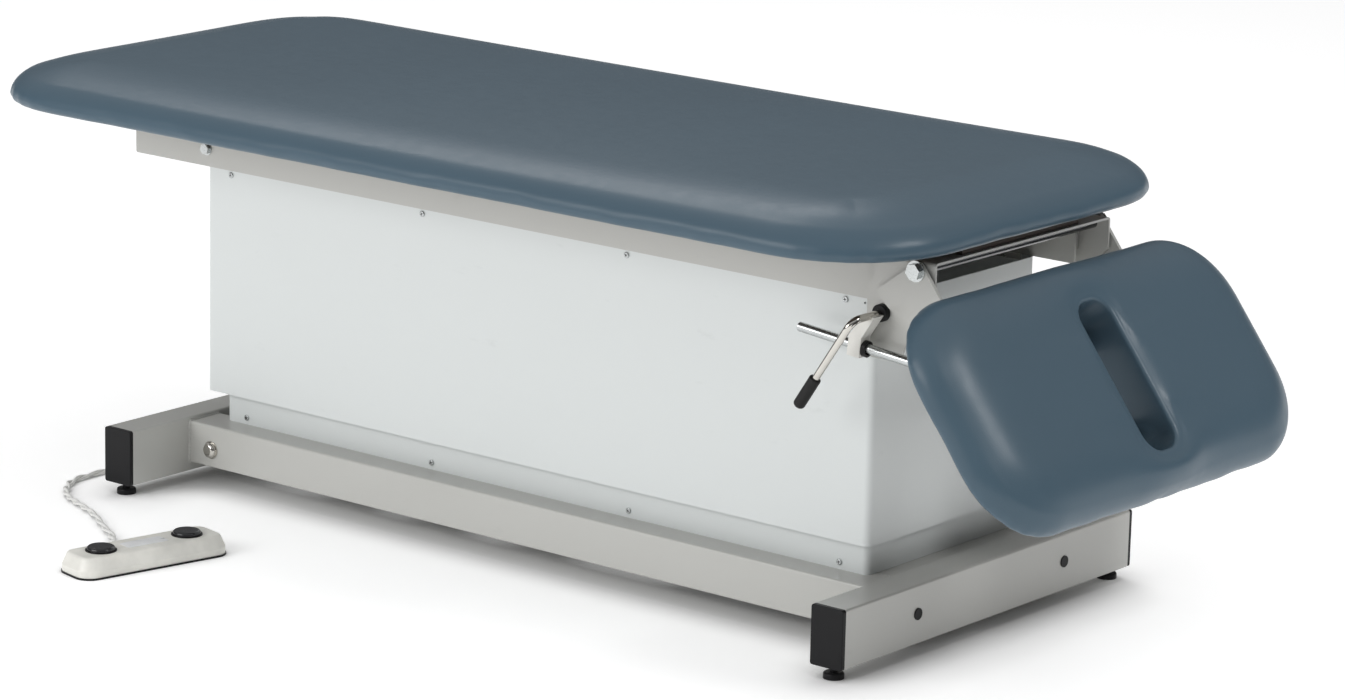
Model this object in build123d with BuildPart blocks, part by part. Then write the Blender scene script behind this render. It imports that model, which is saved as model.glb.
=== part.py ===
from build123d import *

import os
from math import asin, cos, degrees, hypot, radians, sin, tan

# Powered exam table: a welded floor frame, two telescoping sheet-metal covers over a scissor
# lift, a top frame with a long pad, and a short drop section held by a clamped rod.
# Millimetres. X runs along the table towards the drop section, -Y is the side with the lock
# lever, Z is up. The origin is the middle of the floor frame, on the floor.

os.makedirs("parts", exist_ok=True)


def save(piece, name):
    piece.part.label = name
    export_step(piece.part, f"parts/{name}.step")


def across(x, z, y=0.0):
    """A plane at one X, Y and Z that faces -Y: sketch X is +X and sketch Y is +Z."""
    return Plane(origin=(x, y, z), x_dir=(1, 0, 0), z_dir=(0, -1, 0))


def along(y, z, x=0.0):
    """A plane at one X, Y and Z that faces +X: sketch X is +Y and sketch Y is +Z."""
    return Plane(origin=(x, y, z), x_dir=(0, 1, 0), z_dir=(1, 0, 0))


# ---------------------------------------------------------------- driving sizes
base_length = 1244.0
base_width = 616.0
foot_tube_wide = 48.0
foot_tube_high = 76.0
foot_tube_wall = 3.0
tube_corner = 3.0
floor_gap = 16.0
cap_thick = 6.0
cap_insert = 5.0
cap_insert_wall = 2.5
slip = 0.3
run_fit = 0.1

rail_outer_y = 194.0
rail_wide = 60.0
rail_high = 58.0
rail_wall = 3.0
rail_rise = 12.5

cover_sheet = 2.0
lower_cover_half = 154.0
lower_cover_top = 432.0
lower_cover_left_inset = 80.0
lower_cover_right_inset = 79.0
upper_cover_half = 167.5
upper_cover_bottom = 127.0
upper_cover_left_inset = 56.0
upper_cover_right_inset = 70.0
cover_corner = 9.0

pivot_inset = 89.0
roller_inset = 188.0
base_pivot_z = 53.0
frame_pivot_z = 461.0
lift_travel = 290.0
arm_deep = 40.0
arm_thick = 10.0
arm_a_inner = 84.0
arm_b_inner = 98.0
shaft_r = 8.0
hub_wall = 5.0
roller_r = 17.0
roller_wide = 16.0
roller_inner = 113.0
track_gap = 0.6
track_thick = 3.0

frame_half = 167.6
frame_sheet = 3.0
frame_bottom = 437.0
frame_top = 497.0
frame_flange = 25.0
frame_overhang = 134.0
frame_corner = 3.0

hinge_out = 5.0
hinge_z = 489.0
bracket_half = 184.0
bracket_sheet = 3.0
bracket_reach = 23.0
bracket_back = 67.0
rest_tilt = 52.7

pad_length = 1530.0
pad_width = 686.0
pad_thick = 55.0
pad_corner = 160.0
pad_roll = 26.0
support_thick = 17.0
board_thick = 16.0
board_inset = 22.0
pad_gap = 2.5

drop_start = 49.5
drop_height = 11.6
drop_length = 310.0
drop_width = 648.0
drop_thick = 56.0
drop_corner = 104.0
drop_roll = 26.0
drop_board = 12.0
slot_long = 206.0
slot_wide = 66.0
slot_start = 59.0

# ---------------------------------------------------------------- worked out from them
half_length = base_length / 2
rail_z = floor_gap + rail_rise
rail_top = rail_z + rail_high
rail_inner_y = rail_outer_y - rail_wide
foot_x = half_length - foot_tube_wide / 2
tube_end = base_width / 2 - cap_thick
pivot_x = -half_length + pivot_inset
roller_x = half_length - roller_inset
arm_length = hypot(roller_x - pivot_x, frame_pivot_z - base_pivot_z)
arm_rest = asin((frame_pivot_z - base_pivot_z) / arm_length)
arm_high = asin((frame_pivot_z - base_pivot_z + lift_travel) / arm_length)
centre_x = (pivot_x + roller_x) / 2
centre_z = (base_pivot_z + frame_pivot_z) / 2
frame_left = -half_length + upper_cover_left_inset - frame_overhang
hinge_x = half_length + hinge_out
bracket_right = hinge_x + bracket_reach
bracket_left = hinge_x - bracket_back
bracket_top = frame_top + bracket_sheet
frame_right = hinge_x - 15.0
pad_bottom = frame_top + support_thick
pad_right = hinge_x + drop_start - pad_gap
pad_left = pad_right - pad_length
tilt = radians(rest_tilt)

print("arm length", round(arm_length, 3), "rest angle", round(degrees(arm_rest), 4))
print("lift range", round(degrees(arm_high - arm_rest), 4))

# ---------------------------------------------------------------- floor frame
foot_stud_y = tube_end - 11.0
foot_stud_r = 5.0
plug_y = 156.0
plug_z = 55.0
plug_hole_r = 6.0
gland_y = -170.0
gland_z = 45.0
gland_hole_r = 6.0


def foot_tube(side, gland):
    """A rectangular cross tube, open at both ends, with stud holes below and plug holes outside."""
    with BuildPart() as tube:
        with BuildSketch(across(side * foot_x, floor_gap + foot_tube_high / 2)):
            RectangleRounded(foot_tube_wide, foot_tube_high, tube_corner)
            offset(amount=-foot_tube_wall, kind=Kind.INTERSECTION, mode=Mode.SUBTRACT)
        extrude(amount=tube_end, both=True)
        with BuildSketch(Plane.XY.offset(floor_gap - 1)):
            with Locations((side * foot_x, foot_stud_y), (side * foot_x, -foot_stud_y)):
                Circle(foot_stud_r + slip)
        extrude(amount=foot_tube_wall + 2, mode=Mode.SUBTRACT)
        with BuildSketch(along(0, 0, side * (half_length + 1))):
            with Locations((plug_y, plug_z), (-plug_y, plug_z)):
                Circle(plug_hole_r)
            if gland:
                with Locations((gland_y, gland_z)):
                    Circle(gland_hole_r)
        extrude(amount=-side * (foot_tube_wall + 2), mode=Mode.SUBTRACT)
    return tube


left_foot_tube = foot_tube(-1, True)
right_foot_tube = foot_tube(1, False)
save(left_foot_tube, "left_foot_tube")
save(right_foot_tube, "right_foot_tube")

with BuildPart() as foot_end_caps:
    for x in (-foot_x, foot_x):
        for end in (-1, 1):
            with BuildSketch(across(x, floor_gap + foot_tube_high / 2, end * tube_end)):
                RectangleRounded(foot_tube_wide, foot_tube_high, tube_corner + 0.5)
            extrude(amount=-end * cap_thick)
            inner_wide = foot_tube_wide - 2 * foot_tube_wall - 2 * slip
            inner_high = foot_tube_high - 2 * foot_tube_wall - 2 * slip
            with BuildSketch(across(x, floor_gap + foot_tube_high / 2, end * tube_end)):
                Rectangle(inner_wide, inner_high)
                Rectangle(inner_wide - 2 * cap_insert_wall, inner_high - 2 * cap_insert_wall,
                          mode=Mode.SUBTRACT)
            extrude(amount=end * cap_insert)
    outer_faces = foot_end_caps.faces().filter_by(Axis.Y).group_by(Axis.Y)
    fillet(outer_faces[-1].edges() + outer_faces[0].edges(), radius=1.0)
save(foot_end_caps, "foot_end_caps")

with BuildPart() as tube_plugs:
    for side in (-1, 1):
        for y in (-plug_y, plug_y):
            with BuildSketch(along(y, plug_z, side * half_length)):
                Circle(plug_hole_r + 1.5)
            extrude(amount=side * 1.6)
            with BuildSketch(along(y, plug_z, side * half_length)):
                Circle(plug_hole_r - slip / 3)
            extrude(amount=-side * foot_tube_wall)
save(tube_plugs, "tube_plugs")


def base_rail(side):
    """A rectangular side rail between the foot tubes, drilled for the lower pivot shaft."""
    mid_y = side * (rail_outer_y - rail_wide / 2)
    with BuildPart() as rail:
        rail_half = half_length - foot_tube_wide
        with BuildSketch(along(mid_y, rail_z + rail_high / 2, -rail_half)):
            RectangleRounded(rail_wide, rail_high, tube_corner)
            offset(amount=-rail_wall, kind=Kind.INTERSECTION, mode=Mode.SUBTRACT)
        extrude(amount=2 * rail_half)
        with BuildSketch(across(pivot_x, base_pivot_z)):
            Circle(shaft_r)
        extrude(amount=-side * (rail_outer_y + 1), mode=Mode.SUBTRACT)
        if side > 0:
            with BuildSketch(across(inlet_x, inlet_z, rail_outer_y - rail_wall - 1)):
                Rectangle(inlet_wide, inlet_high)
            extrude(amount=-(rail_wall + 2), mode=Mode.SUBTRACT)
    return rail


inlet_x = pivot_x + 93.0
inlet_z = rail_z + rail_high / 2
inlet_wide = 48.0
inlet_high = 28.0
front_base_rail = base_rail(-1)
back_base_rail = base_rail(1)
save(front_base_rail, "front_base_rail")
save(back_base_rail, "back_base_rail")

# Mains inlet in the back rail: a moulded body with a flange and an open socket.
with BuildPart() as power_inlet:
    with BuildSketch(across(inlet_x, inlet_z, rail_outer_y)):
        RectangleRounded(inlet_wide + 12, inlet_high + 8, 3)
    extrude(amount=-2.5)
    with BuildSketch(across(inlet_x, inlet_z, rail_outer_y)):
        Rectangle(inlet_wide - 2 * slip, inlet_high - 2 * slip)
    extrude(amount=24)
    with BuildSketch(across(inlet_x, inlet_z, rail_outer_y + 2.5)):
        RectangleRounded(25, 17, 4)
    extrude(amount=18, mode=Mode.SUBTRACT)
save(power_inlet, "power_inlet")

cross_wide = 40.0
cross_high = 20.0
cross_wall = 2.5
control_left_x = centre_x - 291.0
control_right_x = centre_x - 131.0
actuator_x = centre_x + 49.5
end_cross_x = roller_x + 46.0
end_plate_wide = 74.0
end_plate_x = half_length - foot_tube_wide - end_plate_wide / 2
with BuildPart() as base_cross_members:
    for x in (control_left_x, control_right_x, actuator_x, end_cross_x):
        with BuildSketch(across(x, rail_z + cross_high / 2)):
            Rectangle(cross_wide, cross_high)
            Rectangle(cross_wide - 2 * cross_wall, cross_high - 2 * cross_wall, mode=Mode.SUBTRACT)
        extrude(amount=rail_inner_y, both=True)
    with BuildSketch(Plane.XY.offset(rail_top - 0.3)):
        with Locations((end_plate_x, 0)):
            Rectangle(end_plate_wide, 2 * rail_inner_y)
    extrude(amount=-3.0)
save(base_cross_members, "base_cross_members")

# Lower roller tracks: angle strips on the inner faces of the rails.
track_inner = roller_inner - 2.0
roller_high_x = pivot_x + arm_length * cos(arm_high)
track_left = roller_high_x - 30.0
track_right = roller_x + 24.0
lower_track_top = base_pivot_z - roller_r - track_gap
with BuildPart() as lower_roller_tracks:
    for side in (-1, 1):
        with BuildSketch(along(0, 0, track_left)):
            with BuildLine():
                Polyline((side * track_inner, lower_track_top),
                         (side * (rail_inner_y - track_thick), lower_track_top),
                         (side * (rail_inner_y - track_thick), lower_track_top + 6),
                         (side * rail_inner_y, lower_track_top + 6),
                         (side * rail_inner_y, lower_track_top - track_thick),
                         (side * track_inner, lower_track_top - track_thick), close=True)
            make_face()
        extrude(amount=track_right - track_left)
save(lower_roller_tracks, "lower_roller_tracks")

# The lower pivot shaft runs through both rails; its dome nuts sit on thin washers outside.
dome_r = 10.5
dome_high = 6.5
dome_round = 5.5
washer_r = 12.0
washer_thick = 1.5
with BuildPart() as lower_pivot_shaft:
    with BuildSketch(across(pivot_x, base_pivot_z)):
        Circle(shaft_r)
    extrude(amount=rail_outer_y, both=True)
    for side in (-1, 1):
        with BuildSketch(across(pivot_x, base_pivot_z, side * rail_outer_y)):
            Circle(washer_r)
        extrude(amount=-side * washer_thick)
        with BuildSketch(across(pivot_x, base_pivot_z, side * (rail_outer_y + washer_thick))):
            Circle(dome_r)
        extrude(amount=-side * dome_high)
    ends = lower_pivot_shaft.faces().filter_by(Axis.Y).sort_by(Axis.Y)
    fillet(ends[0].edges() + ends[-1].edges(), radius=dome_round)
save(lower_pivot_shaft, "lower_pivot_shaft")

foot_puck_r = 13.0
foot_puck_high = 8.0


def levelling_foot(x, y):
    """A moulded puck on a threaded stud that runs up through the tube's lower wall."""
    with BuildPart() as foot:
        with BuildSketch(Plane.XY):
            with Locations((x, y)):
                Circle(foot_puck_r)
        extrude(amount=foot_puck_high)
        fillet(foot.faces().sort_by(Axis.Z)[-1].edges(), radius=3.0)
        with BuildSketch(Plane.XY.offset(foot_puck_high)):
            with Locations((x, y)):
                Circle(foot_stud_r)
        extrude(amount=floor_gap + 38.0 - foot_puck_high)
    return foot


for end_name, x in (("left", -foot_x), ("right", foot_x)):
    for side_name, y in (("front", -foot_stud_y), ("back", foot_stud_y)):
        foot = levelling_foot(x, y)
        save(foot, f"levelling_foot_{side_name}_{end_name}")

# ---------------------------------------------------------------- covers
lower_left = -half_length + lower_cover_left_inset
lower_right = half_length - lower_cover_right_inset
upper_left = -half_length + upper_cover_left_inset
upper_right = half_length - upper_cover_right_inset
screw_hole_r = 2.1
lower_screw_insets = (38.0, 43.0)
upper_screw_inset = 45.0
vent_hole_r = 1.5


def cover(left, right, half, bottom, top, screw_z, screw_xs, vent_xs=()):
    """A four-sided sheet cover, open above and below, with screw holes in its long sides."""
    with BuildPart() as sleeve:
        with BuildSketch(Plane.XY.offset(bottom)):
            with Locations(((left + right) / 2, 0)):
                RectangleRounded(right - left, 2 * half, cover_corner)
                RectangleRounded(right - left - 2 * cover_sheet, 2 * (half - cover_sheet),
                                 cover_corner - cover_sheet, mode=Mode.SUBTRACT)
        extrude(amount=top - bottom)
        with BuildSketch(across(0, screw_z)):
            with Locations(*[(x, 0) for x in screw_xs]):
                Circle(screw_hole_r)
        extrude(amount=half + 1, both=True, mode=Mode.SUBTRACT)
        for x in vent_xs:
            with BuildSketch(across(x, screw_z, -half - 1)):
                Circle(vent_hole_r)
            extrude(amount=-cover_sheet - 2, mode=Mode.SUBTRACT)
    return sleeve


def spread(first, last, count):
    return [first + (last - first) * i / (count - 1) for i in range(count)]


def cover_screws(half, screw_z, screw_xs):
    """Pan-head screws through the long sides of a cover into the strip behind it."""
    with BuildPart() as screws:
        for side in (-1, 1):
            for x in screw_xs:
                with BuildSketch(across(x, screw_z, side * half)):
                    Circle(4.0)
                extrude(amount=-side * 2.2)
                with BuildSketch(across(x, screw_z, side * half)):
                    Circle(screw_hole_r)
                extrude(amount=side * (cover_sheet + strip_thick))
        ends = screws.faces().filter_by(Axis.Y).group_by(Axis.Y)
        fillet(ends[0].edges() + ends[-1].edges(), radius=1.2)
    return screws


def screw_strips(half, screw_z, screw_xs, left, right, high):
    """A flat strip along the inside of each long side, which the cover's screws go into."""
    with BuildPart() as strips:
        for side in (-1, 1):
            with BuildSketch(across((left + right) / 2, screw_z, side * (half - cover_sheet))):
                Rectangle(right - left - 2 * strip_end, high)
                with Locations(*[(x - (left + right) / 2, 0) for x in screw_xs]):
                    Circle(screw_hole_r, mode=Mode.SUBTRACT)
            extrude(amount=side * strip_thick)
    return strips


strip_thick = 3.0
strip_end = 20.0
lower_screw_z = rail_top + 9.5
lower_screw_xs = spread(lower_left + lower_screw_insets[0], lower_right - lower_screw_insets[1], 4)
upper_screw_z = frame_bottom - 6.0
upper_screw_xs = spread(upper_left + upper_screw_inset, upper_right - upper_screw_inset, 4)

lower_cover = cover(lower_left, lower_right, lower_cover_half, rail_top, lower_cover_top,
                    lower_screw_z, lower_screw_xs)
upper_cover = cover(upper_left, upper_right, upper_cover_half, upper_cover_bottom, frame_bottom,
                    upper_screw_z, upper_screw_xs, [upper_right - 16.0])
lower_cover_screws = cover_screws(lower_cover_half, lower_screw_z, lower_screw_xs)
upper_cover_screws = cover_screws(upper_cover_half, upper_screw_z, upper_screw_xs)
lower_cover_strips = screw_strips(lower_cover_half, lower_screw_z, lower_screw_xs,
                                  lower_left, lower_right, 19.0)
upper_cover_strips = screw_strips(upper_cover_half, upper_screw_z, upper_screw_xs,
                                  upper_left, upper_right, 12.0)
save(lower_cover, "lower_cover")
save(upper_cover, "upper_cover")
save(lower_cover_screws, "lower_cover_screws")
save(upper_cover_screws, "upper_cover_screws")
save(lower_cover_strips, "lower_cover_strips")
save(upper_cover_strips, "upper_cover_strips")

# ---------------------------------------------------------------- scissor lift
horn_along = 160.0
horn_out = 130.0
lift_pin_r = 7.0


def bar_plane(x, z, y, angle):
    """A plane facing -Y whose sketch X runs along a bar that rises by angle towards +X."""
    return Plane(origin=(x, y, z), x_dir=(cos(angle), 0, sin(angle)), z_dir=(0, -1, 0))


def scissor_arms(x, z, angle, inner, horn):
    """A pair of flat bars with rounded ends, bored at the pivot, the middle and the axle."""
    with BuildPart() as arms:
        for side in (-1, 1):
            with BuildSketch(bar_plane(x, z, side * inner, angle)):
                with Locations((arm_length / 2, 0)):
                    SlotCenterToCenter(arm_length, arm_deep)
                if horn:
                    with BuildLine():
                        Polyline((horn_along - 90, 0), (horn_along - 14, horn_out + 4),
                                 (horn_along + 14, horn_out + 4), (horn_along + 90, 0),
                                 close=True)
                    make_face()
                    with Locations((horn_along, horn_out)):
                        Circle(15.0)
                        Circle(lift_pin_r, mode=Mode.SUBTRACT)
                Circle(shaft_r + run_fit, mode=Mode.SUBTRACT)
                with Locations((arm_length / 2, 0)):
                    Circle(shaft_r + (0 if horn else run_fit), mode=Mode.SUBTRACT)
                with Locations((arm_length, 0)):
                    Circle(shaft_r, mode=Mode.SUBTRACT)
            extrude(amount=-side * arm_thick)
    return arms


scissor_arms_a = scissor_arms(pivot_x, base_pivot_z, arm_rest, arm_a_inner, True)
scissor_arms_b = scissor_arms(pivot_x, frame_pivot_z, -arm_rest, arm_b_inner, False)
save(scissor_arms_a, "scissor_arms_a")
save(scissor_arms_b, "scissor_arms_b")


def round_bars(*bars):
    """Round bars or tubes across the lift: each is an X, a Z, a radius, a half length, a bore."""
    with BuildPart() as shafts:
        for x, z, radius, half, bore in bars:
            with BuildSketch(across(x, z)):
                Circle(radius)
                if bore:
                    Circle(bore, mode=Mode.SUBTRACT)
            extrude(amount=half, both=True)
    return shafts


horn_x = pivot_x + horn_along * cos(arm_rest) - horn_out * sin(arm_rest)
horn_z = base_pivot_z + horn_along * sin(arm_rest) + horn_out * cos(arm_rest)
axle_half = roller_inner + roller_wide + 1.0
bore_r = shaft_r + run_fit
hub_r = bore_r + hub_wall
scissor_shafts_a = round_bars((pivot_x, base_pivot_z, hub_r, arm_a_inner, bore_r),
                              (centre_x, centre_z, shaft_r, arm_b_inner + arm_thick + 4, 0),
                              (roller_x, frame_pivot_z, shaft_r, axle_half, 0),
                              (horn_x, horn_z, lift_pin_r, arm_a_inner + arm_thick, 0))
scissor_shafts_b = round_bars((pivot_x, frame_pivot_z, hub_r, arm_b_inner, bore_r),
                              (roller_x, base_pivot_z, shaft_r, axle_half, 0))
save(scissor_shafts_a, "scissor_shafts_a")
save(scissor_shafts_b, "scissor_shafts_b")


def rollers(x, z):
    """A pair of rollers on one axle, outside the arms."""
    with BuildPart() as pair:
        for side in (-1, 1):
            with BuildSketch(across(x, z, side * roller_inner)):
                Circle(roller_r)
                Circle(shaft_r + run_fit, mode=Mode.SUBTRACT)
            extrude(amount=-side * roller_wide)
    return pair


upper_rollers = rollers(roller_x, frame_pivot_z)
lower_rollers = rollers(roller_x, base_pivot_z)
save(upper_rollers, "upper_rollers")
save(lower_rollers, "lower_rollers")

# ---------------------------------------------------------------- actuator
actuator_z = rail_z + cross_high + 11.5
actuator_r = 22.0
rod_r = 9.0
actuator_pin_r = 6.0
eye_slack = 2.4
actuator_length = hypot(horn_x - actuator_x, horn_z - actuator_z)
actuator_dir = Vector(horn_x - actuator_x, 0, horn_z - actuator_z).normalized()
actuator_side = Vector(0, 1, 0)
print("actuator length", round(actuator_length, 3))


def actuator_plane(distance):
    """A plane square to the actuator, at a distance from its lower pin."""
    return Plane(origin=Vector(actuator_x, 0, actuator_z) + actuator_dir * distance,
                 x_dir=actuator_side, z_dir=actuator_dir)


tube_start = 34.0
with BuildPart() as actuator_body:
    with BuildSketch(actuator_plane(tube_start)):
        Circle(actuator_r)
        Circle(rod_r + slip, mode=Mode.SUBTRACT)
    extrude(amount=actuator_length - tube_start - 70.0)
    with BuildSketch(actuator_plane(tube_start - 8.0)):
        Circle(actuator_r)
    extrude(amount=8.0)
    with BuildSketch(actuator_plane(tube_start + 6.0)):
        with Locations((actuator_r + 27.0, 0)):
            Circle(27.0)
        with Locations((actuator_r + 3.0, 0)):
            Rectangle(14.0, 30.0)
        Circle(actuator_r - 2.0, mode=Mode.SUBTRACT)
    extrude(amount=130.0)
    with BuildSketch(across(actuator_x, actuator_z)):
        Circle(9.0)
    extrude(amount=9.0, both=True)
    with BuildSketch(actuator_plane(0)):
        Rectangle(18.0, 18.0)
    extrude(amount=tube_start - 8.0)
    with BuildSketch(across(actuator_x, actuator_z)):
        Circle(actuator_pin_r + run_fit)
    extrude(amount=10.0, both=True, mode=Mode.SUBTRACT)
save(actuator_body, "actuator_body")

with BuildPart() as actuator_rod:
    with BuildSketch(actuator_plane(40.0)):
        Circle(rod_r)
    extrude(amount=actuator_length - 40.0 - 12.0)
    with BuildSketch(across(horn_x, horn_z)):
        Circle(lift_pin_r + eye_slack + 6.0)
    extrude(amount=10.0, both=True)
    with BuildSketch(across(horn_x, horn_z)):
        Circle(lift_pin_r + eye_slack)
    extrude(amount=11.0, both=True, mode=Mode.SUBTRACT)
save(actuator_rod, "actuator_rod")

with BuildPart() as actuator_bracket:
    for side in (-1, 1):
        with BuildSketch(across(actuator_x, rail_z + cross_high, side * 10.0)):
            with BuildLine():
                Polyline((-17, 0), (17, 0), (10, actuator_z - rail_z - cross_high + 9),
                         (-10, actuator_z - rail_z - cross_high + 9), close=True)
            make_face()
        extrude(amount=-side * 6.0)
    with BuildSketch(across(actuator_x, actuator_z)):
        Circle(actuator_pin_r)
    extrude(amount=18.0, both=True)
save(actuator_bracket, "actuator_bracket")

with BuildPart() as control_box:
    with BuildSketch(Plane.XY.offset(rail_z + cross_high)):
        with Locations(((control_left_x + control_right_x) / 2, 0)):
            RectangleRounded(control_right_x - control_left_x + cross_wide, 116.0, 6.0)
    extrude(amount=42.0)
    fillet(control_box.faces().sort_by(Axis.Z)[-1].edges(), radius=4.0)
save(control_box, "control_box")

# ---------------------------------------------------------------- top frame


def top_rail(side):
    """A channel rail with its web outside and its flange inwards at the top."""
    with BuildPart() as rail:
        with BuildSketch(across((frame_left + frame_right) / 2, (frame_bottom + frame_top) / 2,
                                side * frame_half)):
            Rectangle(frame_right - frame_left, frame_top - frame_bottom)
            with Locations((bolt_x - (frame_left + frame_right) / 2,
                            frame_pivot_z - (frame_bottom + frame_top) / 2)):
                Circle(bolt_r, mode=Mode.SUBTRACT)
        extrude(amount=side * frame_sheet)
        corner = rail.edges().filter_by(Axis.Y).group_by(Axis.X)[0].sort_by(Axis.Z)[0]
        fillet(corner, radius=frame_corner)
        with BuildSketch(Plane.XY.offset(frame_top)):
            with Locations(((frame_left + frame_right) / 2, side * (frame_half - frame_flange / 2))):
                Rectangle(frame_right - frame_left, frame_flange)
        extrude(amount=-frame_sheet)
    return rail


bolt_x = pivot_x - 33.0
bolt_r = 4.0
front_top_rail = top_rail(-1)
back_top_rail = top_rail(1)
save(front_top_rail, "front_top_rail")
save(back_top_rail, "back_top_rail")

inner_half = frame_half - frame_sheet
top_cross_high = 34.0
top_cross_z = frame_top - frame_sheet - top_cross_high
with BuildPart() as top_cross_members:
    for x in (frame_left + 32.0, centre_x - 20.0, track_left - 26.0, roller_x + 52.0):
        with BuildSketch(across(x, top_cross_z + top_cross_high / 2)):
            Rectangle(30.0, top_cross_high)
            Rectangle(30.0 - 2 * cross_wall, top_cross_high - 2 * cross_wall, mode=Mode.SUBTRACT)
        extrude(amount=inner_half, both=True)
save(top_cross_members, "top_cross_members")

upper_track_z = frame_pivot_z + roller_r + track_gap
with BuildPart() as upper_roller_tracks:
    for side in (-1, 1):
        with BuildSketch(along(0, 0, track_left)):
            with BuildLine():
                Polyline((side * track_inner, upper_track_z),
                         (side * (inner_half - track_thick), upper_track_z),
                         (side * (inner_half - track_thick), upper_track_z - 20),
                         (side * inner_half, upper_track_z - 20),
                         (side * inner_half, upper_track_z + track_thick),
                         (side * track_inner, upper_track_z + track_thick), close=True)
            make_face()
        extrude(amount=track_right - track_left)
save(upper_roller_tracks, "upper_roller_tracks")

upper_pivot_shaft = round_bars((pivot_x, frame_pivot_z, shaft_r, inner_half, 0))
save(upper_pivot_shaft, "upper_pivot_shaft")

# Angle blocks inside the rails at the long end, and spacers outside them at the hinge bracket.
spacer_out = bracket_half - bracket_sheet - frame_half
with BuildPart() as frame_blocks:
    for side in (-1, 1):
        with BuildSketch(across(bolt_x, frame_pivot_z, side * inner_half)):
            Rectangle(36.0, 40.0)
            Circle(bolt_r, mode=Mode.SUBTRACT)
        extrude(amount=side * 5.0)
        with BuildSketch(across(bolt_x - 15.5, frame_pivot_z, side * (inner_half - 5.0))):
            Rectangle(5.0, 40.0)
        extrude(amount=side * 25.0)
        with BuildSketch(across(bracket_left + 26.0, frame_top - 32.0, side * frame_half)):
            Rectangle(40.0, 24.0)
        extrude(amount=-side * spacer_out)
save(frame_blocks, "frame_blocks")


def hex_bolts(x, z, y, shank_r, shank, head_r, head_high, flange_r):
    """A hex bolt with a washer on each side of the table, with its shank towards the middle."""
    with BuildPart() as bolts:
        for side in (-1, 1):
            with BuildSketch(across(x, z, side * y)):
                Circle(flange_r)
            extrude(amount=-side * washer_thick)
            with BuildSketch(across(x, z, side * (y + washer_thick))):
                RegularPolygon(head_r, 6, rotation=12)
            extrude(amount=-side * head_high)
            with BuildSketch(across(x, z, side * y)):
                Circle(shank_r)
            extrude(amount=side * shank)
    return bolts


frame_bolts = hex_bolts(bolt_x, frame_pivot_z, frame_half, bolt_r, frame_sheet + 5.0, 7.5, 5.0, 9.0)
save(frame_bolts, "frame_bolts")

# Dark-stained ply between the steel frame and the pad: a long board, and a batten at the hinge.
batten_half = 122.0
with BuildPart() as support_boards:
    board_left = frame_left + 12.0
    board_right = bracket_left - 2.0
    with BuildSketch(Plane.XY.offset(frame_top)):
        with Locations(((board_left + board_right) / 2, 0)):
            Rectangle(board_right - board_left, 2 * (frame_half - 20.0))
    extrude(amount=support_thick)
    with BuildSketch(Plane.XY.offset(bracket_top)):
        with Locations(((bracket_left + bracket_right) / 2 - 1.0, 0)):
            Rectangle(bracket_right - bracket_left - 10.0, 2 * batten_half)
    extrude(amount=pad_bottom - bracket_top)
save(support_boards, "support_boards")

pad_plane = Plane(origin=(pad_left, 0, pad_bottom), x_dir=(1, 0, 0), z_dir=(0, 0, 1))
drop_origin = Vector(hinge_x, 0, hinge_z)
drop_out = Vector(cos(tilt), 0, -sin(tilt))
drop_up = Vector(sin(tilt), 0, cos(tilt))
drop_plane = Plane(origin=drop_origin + drop_out * drop_start + drop_up * drop_height,
                   x_dir=drop_out, z_dir=drop_up)


def outline(length, width, corner, inset=0.0):
    """The pad's plan, on its own plane with X from its inner end."""
    with Locations((length / 2, 0)):
        RectangleRounded(length - 2 * inset, width - 2 * inset, corner - inset)


def padded_top(plane, length, width, corner, thick, roll, board, slot):
    """A pad whose upper edge is rolled, with a recess in its underside for the plywood."""
    with BuildPart() as pad:
        with BuildSketch(plane):
            outline(length, width, corner)
        extrude(amount=thick)
        upper = pad.faces().filter_by(Plane(plane.origin, z_dir=plane.z_dir))
        top_face = upper.sort_by(Axis(plane.origin, plane.z_dir))[-1]
        fillet(top_face.edges(), radius=roll)
        with BuildSketch(plane):
            outline(length, width, corner, board_inset)
        extrude(amount=board, mode=Mode.SUBTRACT)
        if slot:
            with BuildSketch(plane):
                with Locations((slot_start + slot_long / 2, 0)):
                    RectangleRounded(slot_long, slot_wide, slot_wide / 2 - 6)
            extrude(amount=thick, mode=Mode.SUBTRACT)
    return pad


def ply_board(plane, length, width, corner, board, slot):
    """The plywood let into a pad's underside."""
    with BuildPart() as ply:
        with BuildSketch(plane):
            outline(length, width, corner, board_inset)
            if slot:
                with Locations((slot_start + slot_long / 2, 0)):
                    RectangleRounded(slot_long, slot_wide, slot_wide / 2 - 6, mode=Mode.SUBTRACT)
        extrude(amount=board)
    return ply


main_pad = padded_top(pad_plane, pad_length, pad_width, pad_corner, pad_thick, pad_roll,
                      board_thick, False)
main_board = ply_board(pad_plane, pad_length, pad_width, pad_corner, board_thick, False)
save(main_pad, "main_pad")
save(main_board, "main_board")

# ---------------------------------------------------------------- hinge bracket
clamp_x = hinge_x - 52.1
clamp_z = hinge_z - 60.3
cross_rod_r = 6.0
hinge_bolt_r = 6.0
drop_arm_gap = 3.0
hinge_spacer_r = 11.0
drop_arm_thick = 5.0
collar_r = 11.0
lever_r = 4.75


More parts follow.
